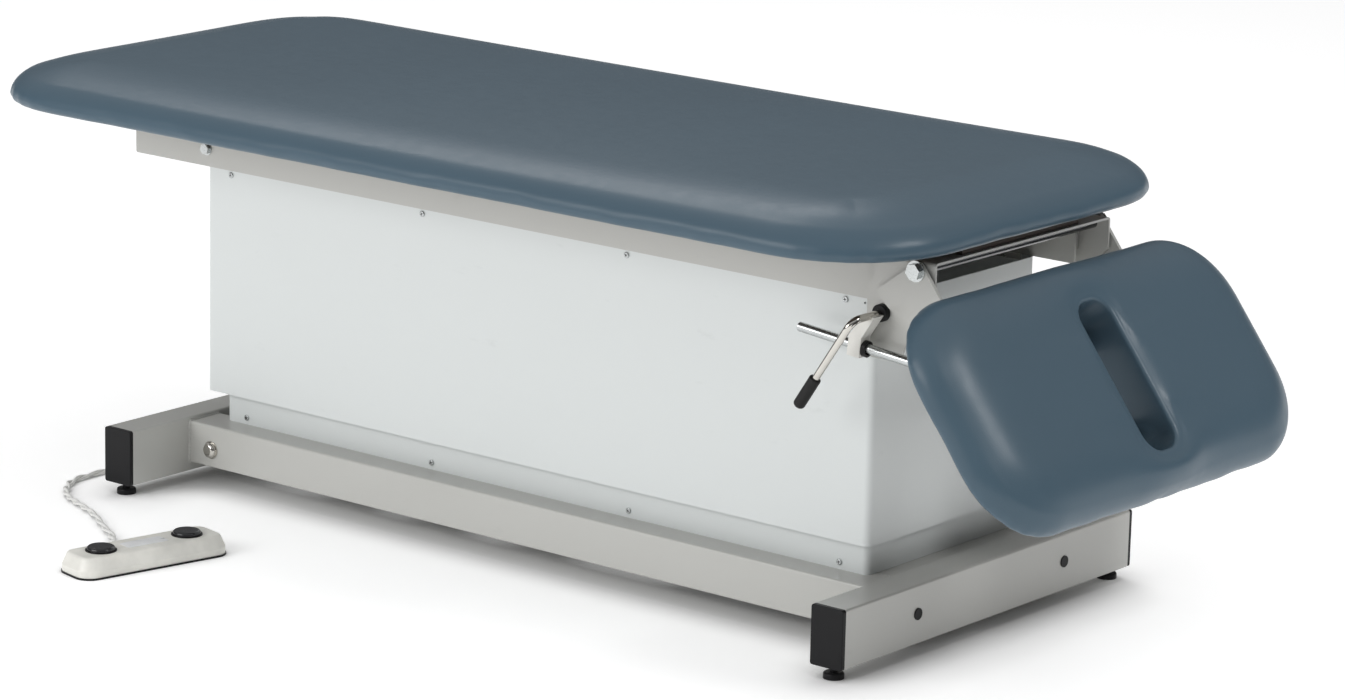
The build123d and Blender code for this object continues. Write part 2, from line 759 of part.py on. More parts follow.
bracket_bend = 5.0
with BuildPart() as hinge_bracket:
    with BuildSketch(along(0, bracket_top - 40.0, bracket_left)):
        Rectangle(2 * bracket_half, 80.0)
    extrude(amount=bracket_right - bracket_left)
    fillet(hinge_bracket.edges().filter_by(Axis.X).group_by(Axis.Z)[-1], radius=bracket_bend)
    with BuildSketch(along(0, bracket_top - 43.0, bracket_left)):
        Rectangle(2 * (bracket_half - bracket_sheet), 80.0)
    extrude(amount=bracket_right - bracket_left, mode=Mode.SUBTRACT)
    with BuildSketch(across(0, 0, bracket_half + 1)):
        with BuildLine():
            Polyline((bracket_left - 1, hinge_z - 34), (hinge_x - 53, hinge_z - 48),
                     (hinge_x + 4, hinge_z - 48), (bracket_right + 1, hinge_z - 28),
                     (bracket_right + 1, hinge_z - 90), (bracket_left - 1, hinge_z - 90),
                     close=True)
        make_face()
    extrude(amount=2 * bracket_half + 2, mode=Mode.SUBTRACT)
    with BuildSketch(across(0, 0, -bracket_half)):
        with BuildLine():
            Polyline((bracket_left, hinge_z - 20), (hinge_x + 4, hinge_z - 40),
                     (hinge_x + 4, hinge_z - 48), (hinge_x - 26, hinge_z - 118),
                     (hinge_x - 68, hinge_z - 118), (hinge_x - 76, hinge_z - 96),
                     (hinge_x - 76, hinge_z - 30), close=True)
        make_face()
    extrude(amount=-bracket_sheet)
    with BuildSketch(across(hinge_x, hinge_z)):
        Circle(hinge_bolt_r)
    extrude(amount=bracket_half + 1, both=True, mode=Mode.SUBTRACT)
    with BuildSketch(across(clamp_x, clamp_z, -bracket_half - 1)):
        Circle(lever_r + slip)
    extrude(amount=-bracket_sheet - 2, mode=Mode.SUBTRACT)
save(hinge_bracket, "hinge_bracket")

cross_rod = round_bars((hinge_x, hinge_z, cross_rod_r, bracket_half - bracket_sheet, 0))
save(cross_rod, "cross_rod")

arm_inner_y = bracket_half + drop_arm_gap
arm_outer_y = arm_inner_y + drop_arm_thick
hinge_bolts = hex_bolts(hinge_x, hinge_z, arm_outer_y + 0.1, hinge_bolt_r,
                        arm_outer_y + 0.1 - (bracket_half - bracket_sheet), 10.5, 6.5, 13.0)
with BuildPart() as hinge_fasteners:
    add(hinge_bolts)
    for side in (-1, 1):
        with BuildSketch(across(hinge_x, hinge_z, side * bracket_half)):
            Circle(hinge_spacer_r)
        extrude(amount=-side * (drop_arm_gap - 0.1))
save(hinge_fasteners, "hinge_bolts")

# ---------------------------------------------------------------- drop section
rod_y = -(arm_outer_y + 11.0)
lug_x = hinge_x + 59.0
rod_rise = 5.48
rod_drop = 42.9
rod_line = radians(rod_rise)
rod_dir = Vector(cos(rod_line), 0, -sin(rod_line))
rod_down = Vector(-sin(rod_line), 0, -cos(rod_line))
clamp_point = Vector(clamp_x, rod_y, clamp_z)
rod_foot = clamp_point + rod_down * rod_drop
lug_point = rod_foot + rod_dir * ((lug_x - rod_foot.X) / cos(rod_line))
lug_along = (lug_point - drop_origin).dot(drop_out)
lug_up = (lug_point - drop_origin).dot(drop_up)
print("lug", [round(v, 2) for v in lug_point], "along", round(lug_along, 2), "up", round(lug_up, 2))
lug_pin_r = 4.0
quadrant_r = 64.0
arm_top = drop_height
arm_back = 9.0
arm_reach = drop_start + drop_length - 60.0
arm_toe = 16.0


def hinge_plane(y):
    """The drop section's own plane at the hinge: sketch X points out along the pad."""
    return Plane(origin=(hinge_x, y, hinge_z), x_dir=drop_out, z_dir=(0, -1, 0))


quadrant_end = (quadrant_r * sin(radians(45)), -quadrant_r * cos(radians(45)))
quadrant_mid = (quadrant_r * sin(radians(18)), -quadrant_r * cos(radians(18)))
quadrant_start = (-arm_back, -(quadrant_r**2 - arm_back**2) ** 0.5)


# Side plates under the drop pad, each with a quarter-round heel about the hinge bolt.
with BuildPart() as drop_arms:
    for side in (-1, 1):
        with BuildSketch(hinge_plane(side * arm_inner_y)):
            with BuildLine():
                Polyline(quadrant_start, (-arm_back, arm_top), (arm_reach, arm_top),
                         (arm_reach, arm_top - arm_toe), quadrant_end)
                ThreePointArc(quadrant_end, quadrant_mid, quadrant_start)
            make_face()
            Circle(hinge_bolt_r + run_fit, mode=Mode.SUBTRACT)
            if side < 0:
                with Locations((lug_along, lug_up)):
                    Circle(lug_pin_r, mode=Mode.SUBTRACT)
        extrude(amount=-side * drop_arm_thick)
    heels = drop_arms.edges().filter_by(Axis.Y).group_by(Axis(tuple(drop_origin), tuple(drop_out)))[0]
    fillet(heels.group_by(Axis(tuple(drop_origin), tuple(drop_up)))[-1], radius=7.0)
save(drop_arms, "drop_arms")

# Two flat bars join the arms under the plywood.
with BuildPart() as drop_cross_bars:
    for start in (130.0, arm_reach - 44.0):
        bar_origin = drop_origin + drop_out * start + drop_up * (arm_top - 5.0)
        with BuildSketch(Plane(origin=bar_origin, x_dir=drop_out, z_dir=drop_up)):
            with Locations((15.0, 0)):
                Rectangle(30.0, 2 * arm_inner_y)
        extrude(amount=5.0)
save(drop_cross_bars, "drop_cross_bars")

drop_pad = padded_top(drop_plane, drop_length, drop_width, drop_corner, drop_thick, drop_roll,
                      drop_board, True)
drop_ply = ply_board(drop_plane, drop_length, drop_width, drop_corner, drop_board, True)
save(drop_pad, "drop_pad")
save(drop_ply, "drop_board")

with BuildPart() as rod_pivot_pin:
    with BuildSketch(across(lug_point.X, lug_point.Z, -arm_inner_y)):
        Circle(lug_pin_r)
    extrude(amount=drop_arm_thick + 21.0)
    with BuildSketch(across(lug_point.X, lug_point.Z, -arm_outer_y - 18.0)):
        Circle(7.0)
    extrude(amount=3.0)
save(rod_pivot_pin, "rod_pivot_pin")

# ---------------------------------------------------------------- lock rod, clamp and lever
lock_rod_r = 6.0
lock_rod_tail = 107.0
eye_wide = 12.0
with BuildPart() as lock_rod:
    rod_start = rod_foot - rod_dir * lock_rod_tail
    rod_length = (lug_point - rod_start).length
    with BuildSketch(Plane(origin=rod_start, x_dir=(0, 1, 0), z_dir=rod_dir)):
        Circle(lock_rod_r)
    extrude(amount=rod_length - 7.0)
    chamfer(lock_rod.faces().sort_by(Axis(tuple(rod_start), tuple(rod_dir)))[0].edges(), length=1.2)
    with BuildSketch(across(lug_point.X, lug_point.Z, rod_y)):
        Circle(10.0)
    extrude(amount=eye_wide / 2 + 0.5, both=True)
    with BuildSketch(across(lug_point.X, lug_point.Z, rod_y)):
        Circle(lug_pin_r + run_fit)
    extrude(amount=eye_wide, both=True, mode=Mode.SUBTRACT)
save(lock_rod, "lock_rod")

block_left = -26.0
block_right = -7.5
block_thick = 19.0
block_slack = 1.9
saddle_r = 8.5
with BuildPart() as clamp_block:
    with BuildSketch(Plane(origin=clamp_point - Vector(0, block_thick / 2, 0),
                           x_dir=rod_dir, z_dir=(0, -1, 0))):
        with BuildLine():
            Polyline((-saddle_r, 0), (saddle_r, 0), (block_right, -rod_drop + 13),
                     (block_right, -rod_drop - 12), (block_left, -rod_drop - 12),
                     (block_left, -rod_drop + 13), (-saddle_r - 5.5, -12), close=True)
        make_face()
    extrude(amount=-block_thick)
    with BuildSketch(Plane(origin=clamp_point - Vector(0, block_thick, 0),
                           x_dir=rod_dir, z_dir=(0, -1, 0))):
        Circle(lever_r + run_fit)
    extrude(amount=-2 * block_thick, mode=Mode.SUBTRACT)
    hole_centre = rod_foot + rod_down * (block_slack / 2) + rod_dir * (block_left - 1)
    with BuildSketch(Plane(origin=hole_centre, x_dir=rod_down, z_dir=rod_dir)):
        SlotCenterToCenter(block_slack, 2 * (lock_rod_r + slip))
    extrude(amount=block_right - block_left + 2, mode=Mode.SUBTRACT)
save(clamp_block, "clamp_block")

with BuildPart() as clamp_collar:
    collar_centre = rod_foot + rod_down * (block_slack / 2) + rod_dir * block_right
    with BuildSketch(Plane(origin=collar_centre, x_dir=rod_down, z_dir=rod_dir)):
        SlotCenterToCenter(block_slack, 2 * (lock_rod_r + 3.2))
        SlotCenterToCenter(block_slack, 2 * (lock_rod_r + slip), mode=Mode.SUBTRACT)
    extrude(amount=6.0)
save(clamp_collar, "clamp_collar")

lever_bend_y = -245.0
lever_bend_r = 14.0
lever_slope = 56.9
lever_reach = 112.0
grip_start = 95.0
grip_end = 142.0
grip_r = 7.6
lever_dir = Vector(-cos(radians(lever_slope)), 0, -sin(radians(lever_slope)))
with BuildPart() as lever_bushing:
    with BuildSketch(across(clamp_x, clamp_z, -bracket_half)):
        Circle(collar_r)
        Circle(lever_r + run_fit, mode=Mode.SUBTRACT)
    extrude(amount=-rod_y - block_thick / 2 - bracket_half - 1.0)
    fillet(lever_bushing.edges().filter_by(GeomType.CIRCLE).group_by(Axis.Y)[0].sort_by(
        SortBy.RADIUS)[-1], radius=2.0)
save(lever_bushing, "lever_bushing")

with BuildPart() as lock_lever:
    bend_point = Vector(clamp_x, lever_bend_y, clamp_z)
    with BuildLine():
        FilletPolyline((clamp_x, -bracket_half + bracket_sheet, clamp_z), bend_point,
                       bend_point + lever_dir * lever_reach, radius=lever_bend_r)
    with BuildSketch(across(clamp_x, clamp_z, -bracket_half + bracket_sheet)):
        Circle(lever_r)
    sweep()
save(lock_lever, "lock_lever")

with BuildPart() as lever_grip:
    grip_plane = Plane(origin=bend_point + lever_dir * grip_start, x_dir=(0, 1, 0),
                       z_dir=lever_dir)
    with BuildSketch(grip_plane):
        Circle(grip_r)
    extrude(amount=grip_end - grip_start)
    grip_axis = Axis(tuple(bend_point), tuple(lever_dir))
    ends = lever_grip.faces().filter_by(GeomType.PLANE).sort_by(grip_axis)
    fillet(ends[-1].edges(), radius=5.5)
    fillet(ends[0].edges(), radius=1.5)
    with BuildSketch(grip_plane):
        Circle(lever_r)
    extrude(amount=lever_reach - grip_start, mode=Mode.SUBTRACT)
save(lever_grip, "lever_grip")

# ---------------------------------------------------------------- foot switch and its cord
switch_x = -346.0
switch_y = -511.0
switch_turn = 77.7
switch_long = 226.0
switch_wide = 72.0
switch_high = 27.0
switch_base_high = 2.5
switch_band_high = 8.5
switch_taper = 24.0
switch_wall = 2.5
button_spacing = 131.0
button_r = 18.5
button_travel = 3.0
button_proud = 6.0
bezel_r = button_r + 2.0
switch_u = Vector(cos(radians(switch_turn)), sin(radians(switch_turn)), 0)


def switch_plane(z):
    """The foot switch's own plane at one height: sketch X runs along its length."""
    return Plane(origin=(switch_x, switch_y, z), x_dir=switch_u, z_dir=(0, 0, 1))


with BuildPart() as foot_switch_base:
    with BuildSketch(switch_plane(0)):
        RectangleRounded(switch_long, switch_wide, 22.0)
    extrude(amount=switch_base_high)
    with BuildSketch(switch_plane(switch_base_high)):
        with Locations((-button_spacing / 2, 0), (button_spacing / 2, 0)):
            Circle(bezel_r)
            Circle(button_r + 0.5, mode=Mode.SUBTRACT)
    extrude(amount=switch_high + 1.2 - switch_base_high)
save(foot_switch_base, "foot_switch_base")

band_top = switch_base_high + switch_band_high
switch_out = Vector(-sin(radians(switch_turn)), cos(radians(switch_turn)), 0)
relief_along = -8.0
relief_z = 12.0
relief_r = 5.5
relief_reach = 12.0
relief_end = (Vector(switch_x, switch_y, relief_z) + switch_u * relief_along
              + switch_out * (switch_wide / 2 + 6.5))
with BuildPart() as foot_switch_case:
    with BuildSketch(switch_plane(switch_base_high)):
        RectangleRounded(switch_long - 2, switch_wide - 2, 21.0)
    extrude(amount=switch_band_high)
    with BuildSketch(switch_plane(band_top)):
        RectangleRounded(switch_long - 2, switch_wide - 2, 21.0)
    extrude(amount=switch_high - band_top, taper=switch_taper)
    fillet(foot_switch_case.faces().sort_by(Axis.Z)[-1].edges(), radius=5.0)
    hollow_long = switch_long - 2 - 2 * switch_wall
    hollow_wide = switch_wide - 2 - 2 * switch_wall
    with BuildSketch(switch_plane(switch_base_high)):
        RectangleRounded(hollow_long, hollow_wide, 21.0 - switch_wall)
    extrude(amount=switch_band_high, mode=Mode.SUBTRACT)
    with BuildSketch(switch_plane(band_top)):
        RectangleRounded(hollow_long, hollow_wide, 21.0 - switch_wall)
    extrude(amount=switch_high - band_top - switch_wall, taper=switch_taper, mode=Mode.SUBTRACT)
    with BuildSketch(switch_plane(switch_base_high)):
        with Locations((-button_spacing / 2, 0), (button_spacing / 2, 0)):
            Circle(bezel_r)
    extrude(amount=switch_high, mode=Mode.SUBTRACT)
    with BuildSketch(Plane(origin=relief_end, x_dir=switch_u, z_dir=-switch_out)):
        Circle(relief_r)
    extrude(amount=relief_reach)
save(foot_switch_case, "foot_switch_case")

for name, side in (("lower", -1), ("raise", 1)):
    with BuildPart() as button:
        with BuildSketch(switch_plane(switch_base_high + button_travel + 1.0)):
            with Locations((side * button_spacing / 2, 0)):
                Circle(button_r)
        extrude(amount=switch_high + button_proud - switch_base_high - button_travel - 1.0)
        fillet(button.faces().sort_by(Axis.Z)[-1].edges(), radius=3.5)
    save(button, f"foot_button_{name}")

# The cord is a twisted pair of thin leads; this tube is the outside of the pair.
cord_r = 4.0
gland_reach = 22.0
with BuildPart() as cord_gland:
    with BuildSketch(along(gland_y, gland_z, -half_length)):
        Circle(9.0)
    extrude(amount=-3.0)
    with BuildSketch(along(gland_y, gland_z, -half_length)):
        Circle(gland_hole_r - slip)
    extrude(amount=foot_tube_wall)
    with BuildSketch(along(gland_y, gland_z, -half_length - 3.0)):
        Circle(7.0)
    with BuildSketch(along(gland_y, gland_z, -half_length - gland_reach)):
        Circle(5.0)
    loft()
save(cord_gland, "cord_gland")

cord_floor = cord_r + 0.2
cord_route = [
    (-half_length - gland_reach, gland_y, gland_z),
    (-half_length - gland_reach - 22.0, gland_y, gland_z),
    (-683.5, -175.0, 28.5),
    (-690.0, -192.0, 10.5),
    (-689.0, -217.0, cord_floor),
    (-686.0, -249.0, cord_floor),
    (-688.0, -281.0, cord_floor),
    (-682.0, -316.0, cord_floor),
    (-655.0, -350.0, cord_floor),
    (-628.0, -372.0, cord_floor),
    (-582.0, -389.0, cord_floor),
    (-537.0, -409.0, cord_floor),
    (-497.0, -437.0, cord_floor),
    (-456.0, -460.0, cord_floor),
    (-428.0, -485.0, cord_floor + 1.5),
    tuple(relief_end + switch_out * 20.0),
    tuple(relief_end),
]


def tube_radii(route):
    """Arc radii: 0.45 of the shorter run at each corner over the tangent of half its turn."""
    radii = []
    for before, at, after in zip(route, route[1:], route[2:]):
        run_in = Vector(*at) - Vector(*before)
        run_out = Vector(*after) - Vector(*at)
        half_turn = radians(run_in.get_angle(run_out)) / 2
        radii.append(0.45 * min(run_in.length, run_out.length) / tan(half_turn))
    return radii


cord_radii = tube_radii(cord_route)
print("cord runs", [round((Vector(*b) - Vector(*a)).length, 1)
                    for a, b in zip(cord_route, cord_route[1:])])
print("cord radii", [round(r, 1) for r in cord_radii])
with BuildPart() as foot_switch_cord:
    with BuildLine() as cord_line:
        FilletPolyline(*cord_route, radius=cord_radii)
    with BuildSketch(Plane(origin=cord_route[0], x_dir=(0, 1, 0), z_dir=(-1, 0, 0))):
        Circle(cord_r)
    sweep()
cord_length = sum(edge.length for edge in cord_line.edges())
print("cord length", round(cord_length, 1), "volume", round(foot_switch_cord.part.volume, 1),
      "section x length", round(3.14159265 * cord_r**2 * cord_length, 1))
save(foot_switch_cord, "foot_switch_cord")
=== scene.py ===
"""Padded exam table on a covered scissor lift, with a hinged drop section and a foot switch."""

import math

import bmesh
import bpy
import numpy as np
from bpy.props import FloatProperty, FloatVectorProperty, IntProperty, PointerProperty
from mathutils import Matrix, Vector


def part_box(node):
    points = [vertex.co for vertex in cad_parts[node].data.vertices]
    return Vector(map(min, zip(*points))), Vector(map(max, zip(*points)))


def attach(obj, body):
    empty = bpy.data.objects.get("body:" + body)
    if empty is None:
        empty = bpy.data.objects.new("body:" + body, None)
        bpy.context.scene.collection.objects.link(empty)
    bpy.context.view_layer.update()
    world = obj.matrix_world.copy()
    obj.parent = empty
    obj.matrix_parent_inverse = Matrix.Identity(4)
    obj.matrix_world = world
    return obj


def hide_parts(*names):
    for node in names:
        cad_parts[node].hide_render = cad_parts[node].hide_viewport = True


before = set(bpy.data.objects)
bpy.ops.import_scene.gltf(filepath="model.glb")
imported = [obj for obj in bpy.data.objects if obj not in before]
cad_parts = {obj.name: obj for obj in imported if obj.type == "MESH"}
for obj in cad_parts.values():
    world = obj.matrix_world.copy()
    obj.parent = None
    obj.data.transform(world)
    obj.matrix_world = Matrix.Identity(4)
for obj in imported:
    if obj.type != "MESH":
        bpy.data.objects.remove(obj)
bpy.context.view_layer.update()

bl_info = {
    "name": "Exam table maker",
    "version": (1, 0, 0),
    "blender": (4, 5, 0),
    "location": "3D View > Sidebar > Exam table",
    "description": "Upholstery, finishes, cord and small fittings for a powered exam table",
    "category": "Object",
}


# ------------------------------------------------------------------ settings
class ExamTableUpholstery(bpy.types.PropertyGroup):
    """Sizes and colour of the two vinyl pads."""

    colour: FloatVectorProperty(
        name="Vinyl colour", description="Colour of the pads' vinyl", subtype="COLOR",
        default=(0.062, 0.104, 0.139), min=0.0, max=1.0)
    crown: FloatProperty(
        name="Crown", description="How far the foam stands up in the middle", default=0.003,
        unit="LENGTH", min=0.0)
    main_slope: FloatProperty(
        name="Main slope", description="Width of the long pad's sloping edge", default=0.100,
        unit="LENGTH", min=0.001)
    drop_slope: FloatProperty(
        name="Drop slope", description="Width of the drop pad's sloping edge", default=0.076,
        unit="LENGTH", min=0.001)
    lower_roll: FloatProperty(
        name="Lower roll", description="Width and height of the roll under the slope",
        default=0.011, unit="LENGTH", min=0.001)
    lip: FloatProperty(
        name="Slot lip", description="Width of the roll round the hand slot", default=0.005,
        unit="LENGTH", min=0.001)
    gather: FloatProperty(
        name="Gathers", description="Depth of the folds where vinyl turns under a corner",
        default=0.0009, unit="LENGTH", min=0.0)
    pressure: FloatProperty(
        name="Stuffing", description="Pressure that swells the pads", default=2.5, min=0.0)
    steps: IntProperty(
        name="Steps", description="Steps of the swelling", default=12, min=1)


class ExamTableFinishes(bpy.types.PropertyGroup):
    """Colours of the painted and moulded parts."""

    frame_colour: FloatVectorProperty(
        name="Frame paint", description="Powder coat on the steel frames", subtype="COLOR",
        default=(0.50, 0.50, 0.475), min=0.0, max=1.0)
    cover_colour: FloatVectorProperty(
        name="Cover paint", description="Powder coat on the sheet-metal covers", subtype="COLOR",
        default=(0.68, 0.71, 0.705), min=0.0, max=1.0)
    plastic_colour: FloatVectorProperty(
        name="Black plastic", description="Moulded end caps, feet and plugs", subtype="COLOR",
        default=(0.009, 0.009, 0.010), min=0.0, max=1.0)
    switch_colour: FloatVectorProperty(
        name="Switch shell", description="Moulded shell of the foot switch", subtype="COLOR",
        default=(0.76, 0.75, 0.70), min=0.0, max=1.0)


class ExamTableCord(bpy.types.PropertyGroup):
    """Sizes of the foot switch's twisted pair."""

    strand: FloatProperty(
        name="Strand", description="Thickness of one lead", default=0.0042, unit="LENGTH",
        min=0.0005)
    pitch: FloatProperty(
        name="Pitch", description="Length of one full twist", default=0.062, unit="LENGTH",
        min=0.005)
    pair: FloatProperty(
        name="Pair", description="Width of the pair", default=0.008, unit="LENGTH", min=0.001)


class ExamTableFittings(bpy.types.PropertyGroup):
    """Sizes of the small fittings."""

    recess: FloatProperty(
        name="Screw recess", description="Width of the cross recess in a screw head",
        default=0.0042, unit="LENGTH", min=0.0005)
    bead: FloatProperty(
        name="Weld bead", description="Thickness of the weld beads", default=0.0038,
        unit="LENGTH", min=0.0005)
    staple: FloatProperty(
        name="Staple", description="Length of a staple's crown", default=0.010, unit="LENGTH",
        min=0.001)
    staple_pitch: FloatProperty(
        name="Staple pitch", description="Distance between staples under the pads",
        default=0.036, unit="LENGTH", min=0.004)


class ExamTableStage(bpy.types.PropertyGroup):
    """Floor, light and camera."""

    floor_colour: FloatVectorProperty(
        name="Floor", description="Colour of the studio floor", subtype="COLOR",
        default=(0.92, 0.92, 0.92), min=0.0, max=1.0)
    floor_glow: FloatProperty(
        name="Floor glow", description="Light that the pale floor gives off", default=0.36,
        min=0.0)
    key: FloatProperty(
        name="Key light", description="Power of the large key light", default=112.0, min=0.0,
        unit="POWER")
    fill: FloatProperty(
        name="Fill light", description="Power of the fill light", default=60.0, min=0.0,
        unit="POWER")
    rim: FloatProperty(
        name="Rim light", description="Power of the long light behind the table", default=30.0,
        min=0.0, unit="POWER")
    sky: FloatProperty(
        name="Sky", description="Strength of the light from all round", default=0.74, min=0.0)


# ------------------------------------------------------------------ mesh helpers
def grid_faces(rows, columns, close_rows=False, close_columns=False):
    """Quads of a grid whose points are numbered row by row; either way may close on itself."""
    r = np.arange(rows if close_rows else rows - 1)
    c = np.arange(columns if close_columns else columns - 1)
    i, j = np.meshgrid(r, c, indexing="ij")
    k, m = (i + 1) % rows, (j + 1) % columns
    quads = np.stack((i * columns + j, i * columns + m, k * columns + m, k * columns + j), axis=-1)
    return quads.reshape(-1, 4)


def make_piece(name, points, faces, material, smooth=True):
    """A mesh object at the origin from an array of points and an array of faces. Points that
    share a place are merged, which closes the poles of tubes and plates."""
    mesh = bpy.data.meshes.new(name)
    mesh.from_pydata(np.asarray(points, float).tolist(), [], [list(map(int, f)) for f in faces])
    shell = bmesh.new()
    shell.from_mesh(mesh)
    bmesh.ops.remove_doubles(shell, verts=shell.verts, dist=1e-7)
    shell.to_mesh(mesh)
    shell.free()
    if smooth:
        mesh.polygons.foreach_set("use_smooth", np.ones(len(mesh.polygons), bool))
    mesh.materials.append(material)
    piece = bpy.data.objects.new(name, mesh)
    bpy.context.scene.collection.objects.link(piece)
    return piece


def join_shells(*shells):
    """Several arrays of points and quads as one pair of arrays."""
    points, faces, start = [], [], 0
    for shell_points, shell_faces in shells:
        points.append(np.asarray(shell_points, float).reshape(-1, 3))
        faces.append(np.asarray(shell_faces) + start)
        start += len(points[-1])
    return np.concatenate(points), np.concatenate(faces)


def place(points, origin, x_axis, y_axis, z_axis):
    """Local points carried to an origin along three unit axes."""
    axes = np.array([x_axis, y_axis, z_axis], float)
    return np.asarray(points, float) @ axes + np.asarray(origin, float)


def tube(path, radius, sides=14):
    """A round tube along a path: at each point a circle stands square to the path, on axes
    carried forward without twist; the ends close to a point."""
    path = np.asarray(path, float)
    tangent = np.gradient(path, axis=0)
    tangent /= np.linalg.norm(tangent, axis=1, keepdims=True)
    first = np.cross(tangent[0], (0.0, 0.0, 1.0))
    first = first if np.linalg.norm(first) > 1e-3 else np.array((1.0, 0.0, 0.0))
    side = np.empty_like(path)
    carried = first / np.linalg.norm(first)
    for i, along in enumerate(tangent):
        carried = carried - along * carried.dot(along)
        carried /= np.linalg.norm(carried)
        side[i] = carried
    up = np.cross(tangent, side)
    turn = np.linspace(0, 2 * np.pi, sides, endpoint=False)
    radii = np.full(len(path), radius, float)
    radii[[0, -1]] = 0.0
    ring = np.cos(turn)[None, :, None] * side[:, None] + np.sin(turn)[None, :, None] * up[:, None]
    points = path[:, None] + ring * radii[:, None, None]
    return points.reshape(-1, 3), grid_faces(len(path), sides, close_columns=True)


# ------------------------------------------------------------------ node helpers
def new_material(name):
    """A material with an empty Principled surface and an Object coordinate source."""
    material = bpy.data.materials.new(name)
    material.use_nodes = True
    nodes = material.node_tree.nodes
    surface = nodes["Principled BSDF"]
    place_node = nodes.new("ShaderNodeTexCoord")
    return material, nodes, material.node_tree.links, surface, place_node.outputs["Object"]


def noise(nodes, links, source, scale, detail=4.0, roughness=0.5, stretch=None):
    """A noise texture on the object's own coordinates, stretched along an axis if asked."""
    if stretch:
        mapping = nodes.new("ShaderNodeMapping")
        mapping.inputs["Scale"].default_value = stretch
        links.new(source, mapping.inputs["Vector"])
        source = mapping.outputs["Vector"]
    texture = nodes.new("ShaderNodeTexNoise")
    texture.inputs["Scale"].default_value = scale
    texture.inputs["Detail"].default_value = detail
    texture.inputs["Roughness"].default_value = roughness
    links.new(source, texture.inputs["Vector"])
    return texture.outputs["Fac"]


def remap(nodes, links, value, low, high, out_low, out_high):
    """A value carried from one range to another and kept inside it."""
    node = nodes.new("ShaderNodeMapRange")
    for key, number in zip(("From Min", "From Max", "To Min", "To Max"),
                           (low, high, out_low, out_high)):
        node.inputs[key].default_value = number
    links.new(value, node.inputs["Value"])
    return node.outputs["Result"]


def two_tone(nodes, links, value, dark, light):
    """A colour between two, by a value from 0 to 1."""
    ramp = nodes.new("ShaderNodeValToRGB")
    ramp.color_ramp.elements[0].color = (*dark, 1)
    ramp.color_ramp.elements[1].color = (*light, 1)
    links.new(value, ramp.inputs["Fac"])
    return ramp.outputs["Color"]


def bump(nodes, links, height, distance, strength=1.0, under=None):
    """A bump of a real height in metres, laid over another bump if there is one."""
    node = nodes.new("ShaderNodeBump")
    node.inputs["Distance"].default_value = distance
    node.inputs["Strength"].default_value = strength
    links.new(height, node.inputs["Height"])
    if under is not None:
        links.new(under, node.inputs["Normal"])
    return node.outputs["Normal"]


def shade(colour, factor):
    """A colour made lighter or darker."""
    return tuple(min(1.0, c * factor) for c in colour)


# ------------------------------------------------------------------ finishes
def vinyl_finish(colour):
    """Upholstery vinyl: a fine pebbled grain, broad soft waves and a satin surface."""
    material, nodes, links, surface, source = new_material("upholstery_vinyl")
    broad = noise(nodes, links, source, 3.0, 3.0)
    colour_out = two_tone(nodes, links, remap(nodes, links, broad, 0.3, 0.7, 0.0, 1.0),
                          shade(colour, 0.97), shade(colour, 1.03))
    links.new(colour_out, surface.inputs["Base Color"])
    grain = nodes.new("ShaderNodeTexVoronoi")
    grain.feature = "SMOOTH_F1"
    grain.inputs["Scale"].default_value = 620.0
    grain.inputs["Smoothness"].default_value = 0.7
    links.new(source, grain.inputs["Vector"])
    fine = bump(nodes, links, grain.outputs["Distance"], 0.00012, 0.5)
    waves = noise(nodes, links, source, 7.0, 2.0, 0.4)
    links.new(bump(nodes, links, waves, 0.0012, 0.3, fine), surface.inputs["Normal"])
    rough = noise(nodes, links, source, 60.0, 5.0)
    links.new(remap(nodes, links, rough, 0.2, 0.8, 0.30, 0.38), surface.inputs["Roughness"])
    surface.inputs["Specular IOR Level"].default_value = 0.3
    return material


def powder_coat(name, colour, roughness, peel=0.00006):
    """Powder coat: an orange-peel skin, a very faint cloud in its colour, slightly uneven gloss
    and a few short rubbed marks where the paint is duller."""
    material, nodes, links, surface, source = new_material(name)
    cloud = noise(nodes, links, source, 1.6, 3.0)
    rubbed = noise(nodes, links, source, 34.0, 6.0, 0.65, (0.35, 1.0, 1.0))
    marks = remap(nodes, links, rubbed, 0.66, 0.78, 0.0, 1.0)
    tone = nodes.new("ShaderNodeMix")
    tone.data_type = "RGBA"
    links.new(marks, tone.inputs["Factor"])
    links.new(two_tone(nodes, links, cloud, shade(colour, 0.985), shade(colour, 1.015)),
              tone.inputs["A"])
    tone.inputs["B"].default_value = (*shade(colour, 0.93), 1.0)
    links.new(tone.outputs["Result"], surface.inputs["Base Color"])
    skin = noise(nodes, links, source, 420.0, 2.0, 0.35)
    links.new(bump(nodes, links, skin, peel, 0.5), surface.inputs["Normal"])
    links.new(remap(nodes, links, marks, 0.0, 1.0, roughness, roughness + 0.12),
              surface.inputs["Roughness"])
    surface.inputs["Coat Weight"].default_value = 0.2
    surface.inputs["Coat Roughness"].default_value = 0.18
    return material


def moulded(name, colour, roughness, texture=0.00005, scale=900.0, specular=0.5):
    """Moulded plastic: a fine spark-eroded texture and slightly worn gloss."""
    material, nodes, links, surface, source = new_material(name)
    cloud = noise(nodes, links, source, 30.0, 5.0)
    links.new(two_tone(nodes, links, remap(nodes, links, cloud, 0.3, 0.7, 0.0, 1.0),
                       shade(colour, 0.9), shade(colour, 1.1)), surface.inputs["Base Color"])
    spark = noise(nodes, links, source, scale, 3.0, 0.6)
    links.new(bump(nodes, links, spark, texture, 0.6), surface.inputs["Normal"])
    links.new(remap(nodes, links, cloud, 0.2, 0.8, roughness - 0.06, roughness + 0.08),
              surface.inputs["Roughness"])
    surface.inputs["Specular IOR Level"].default_value = specular
    return material


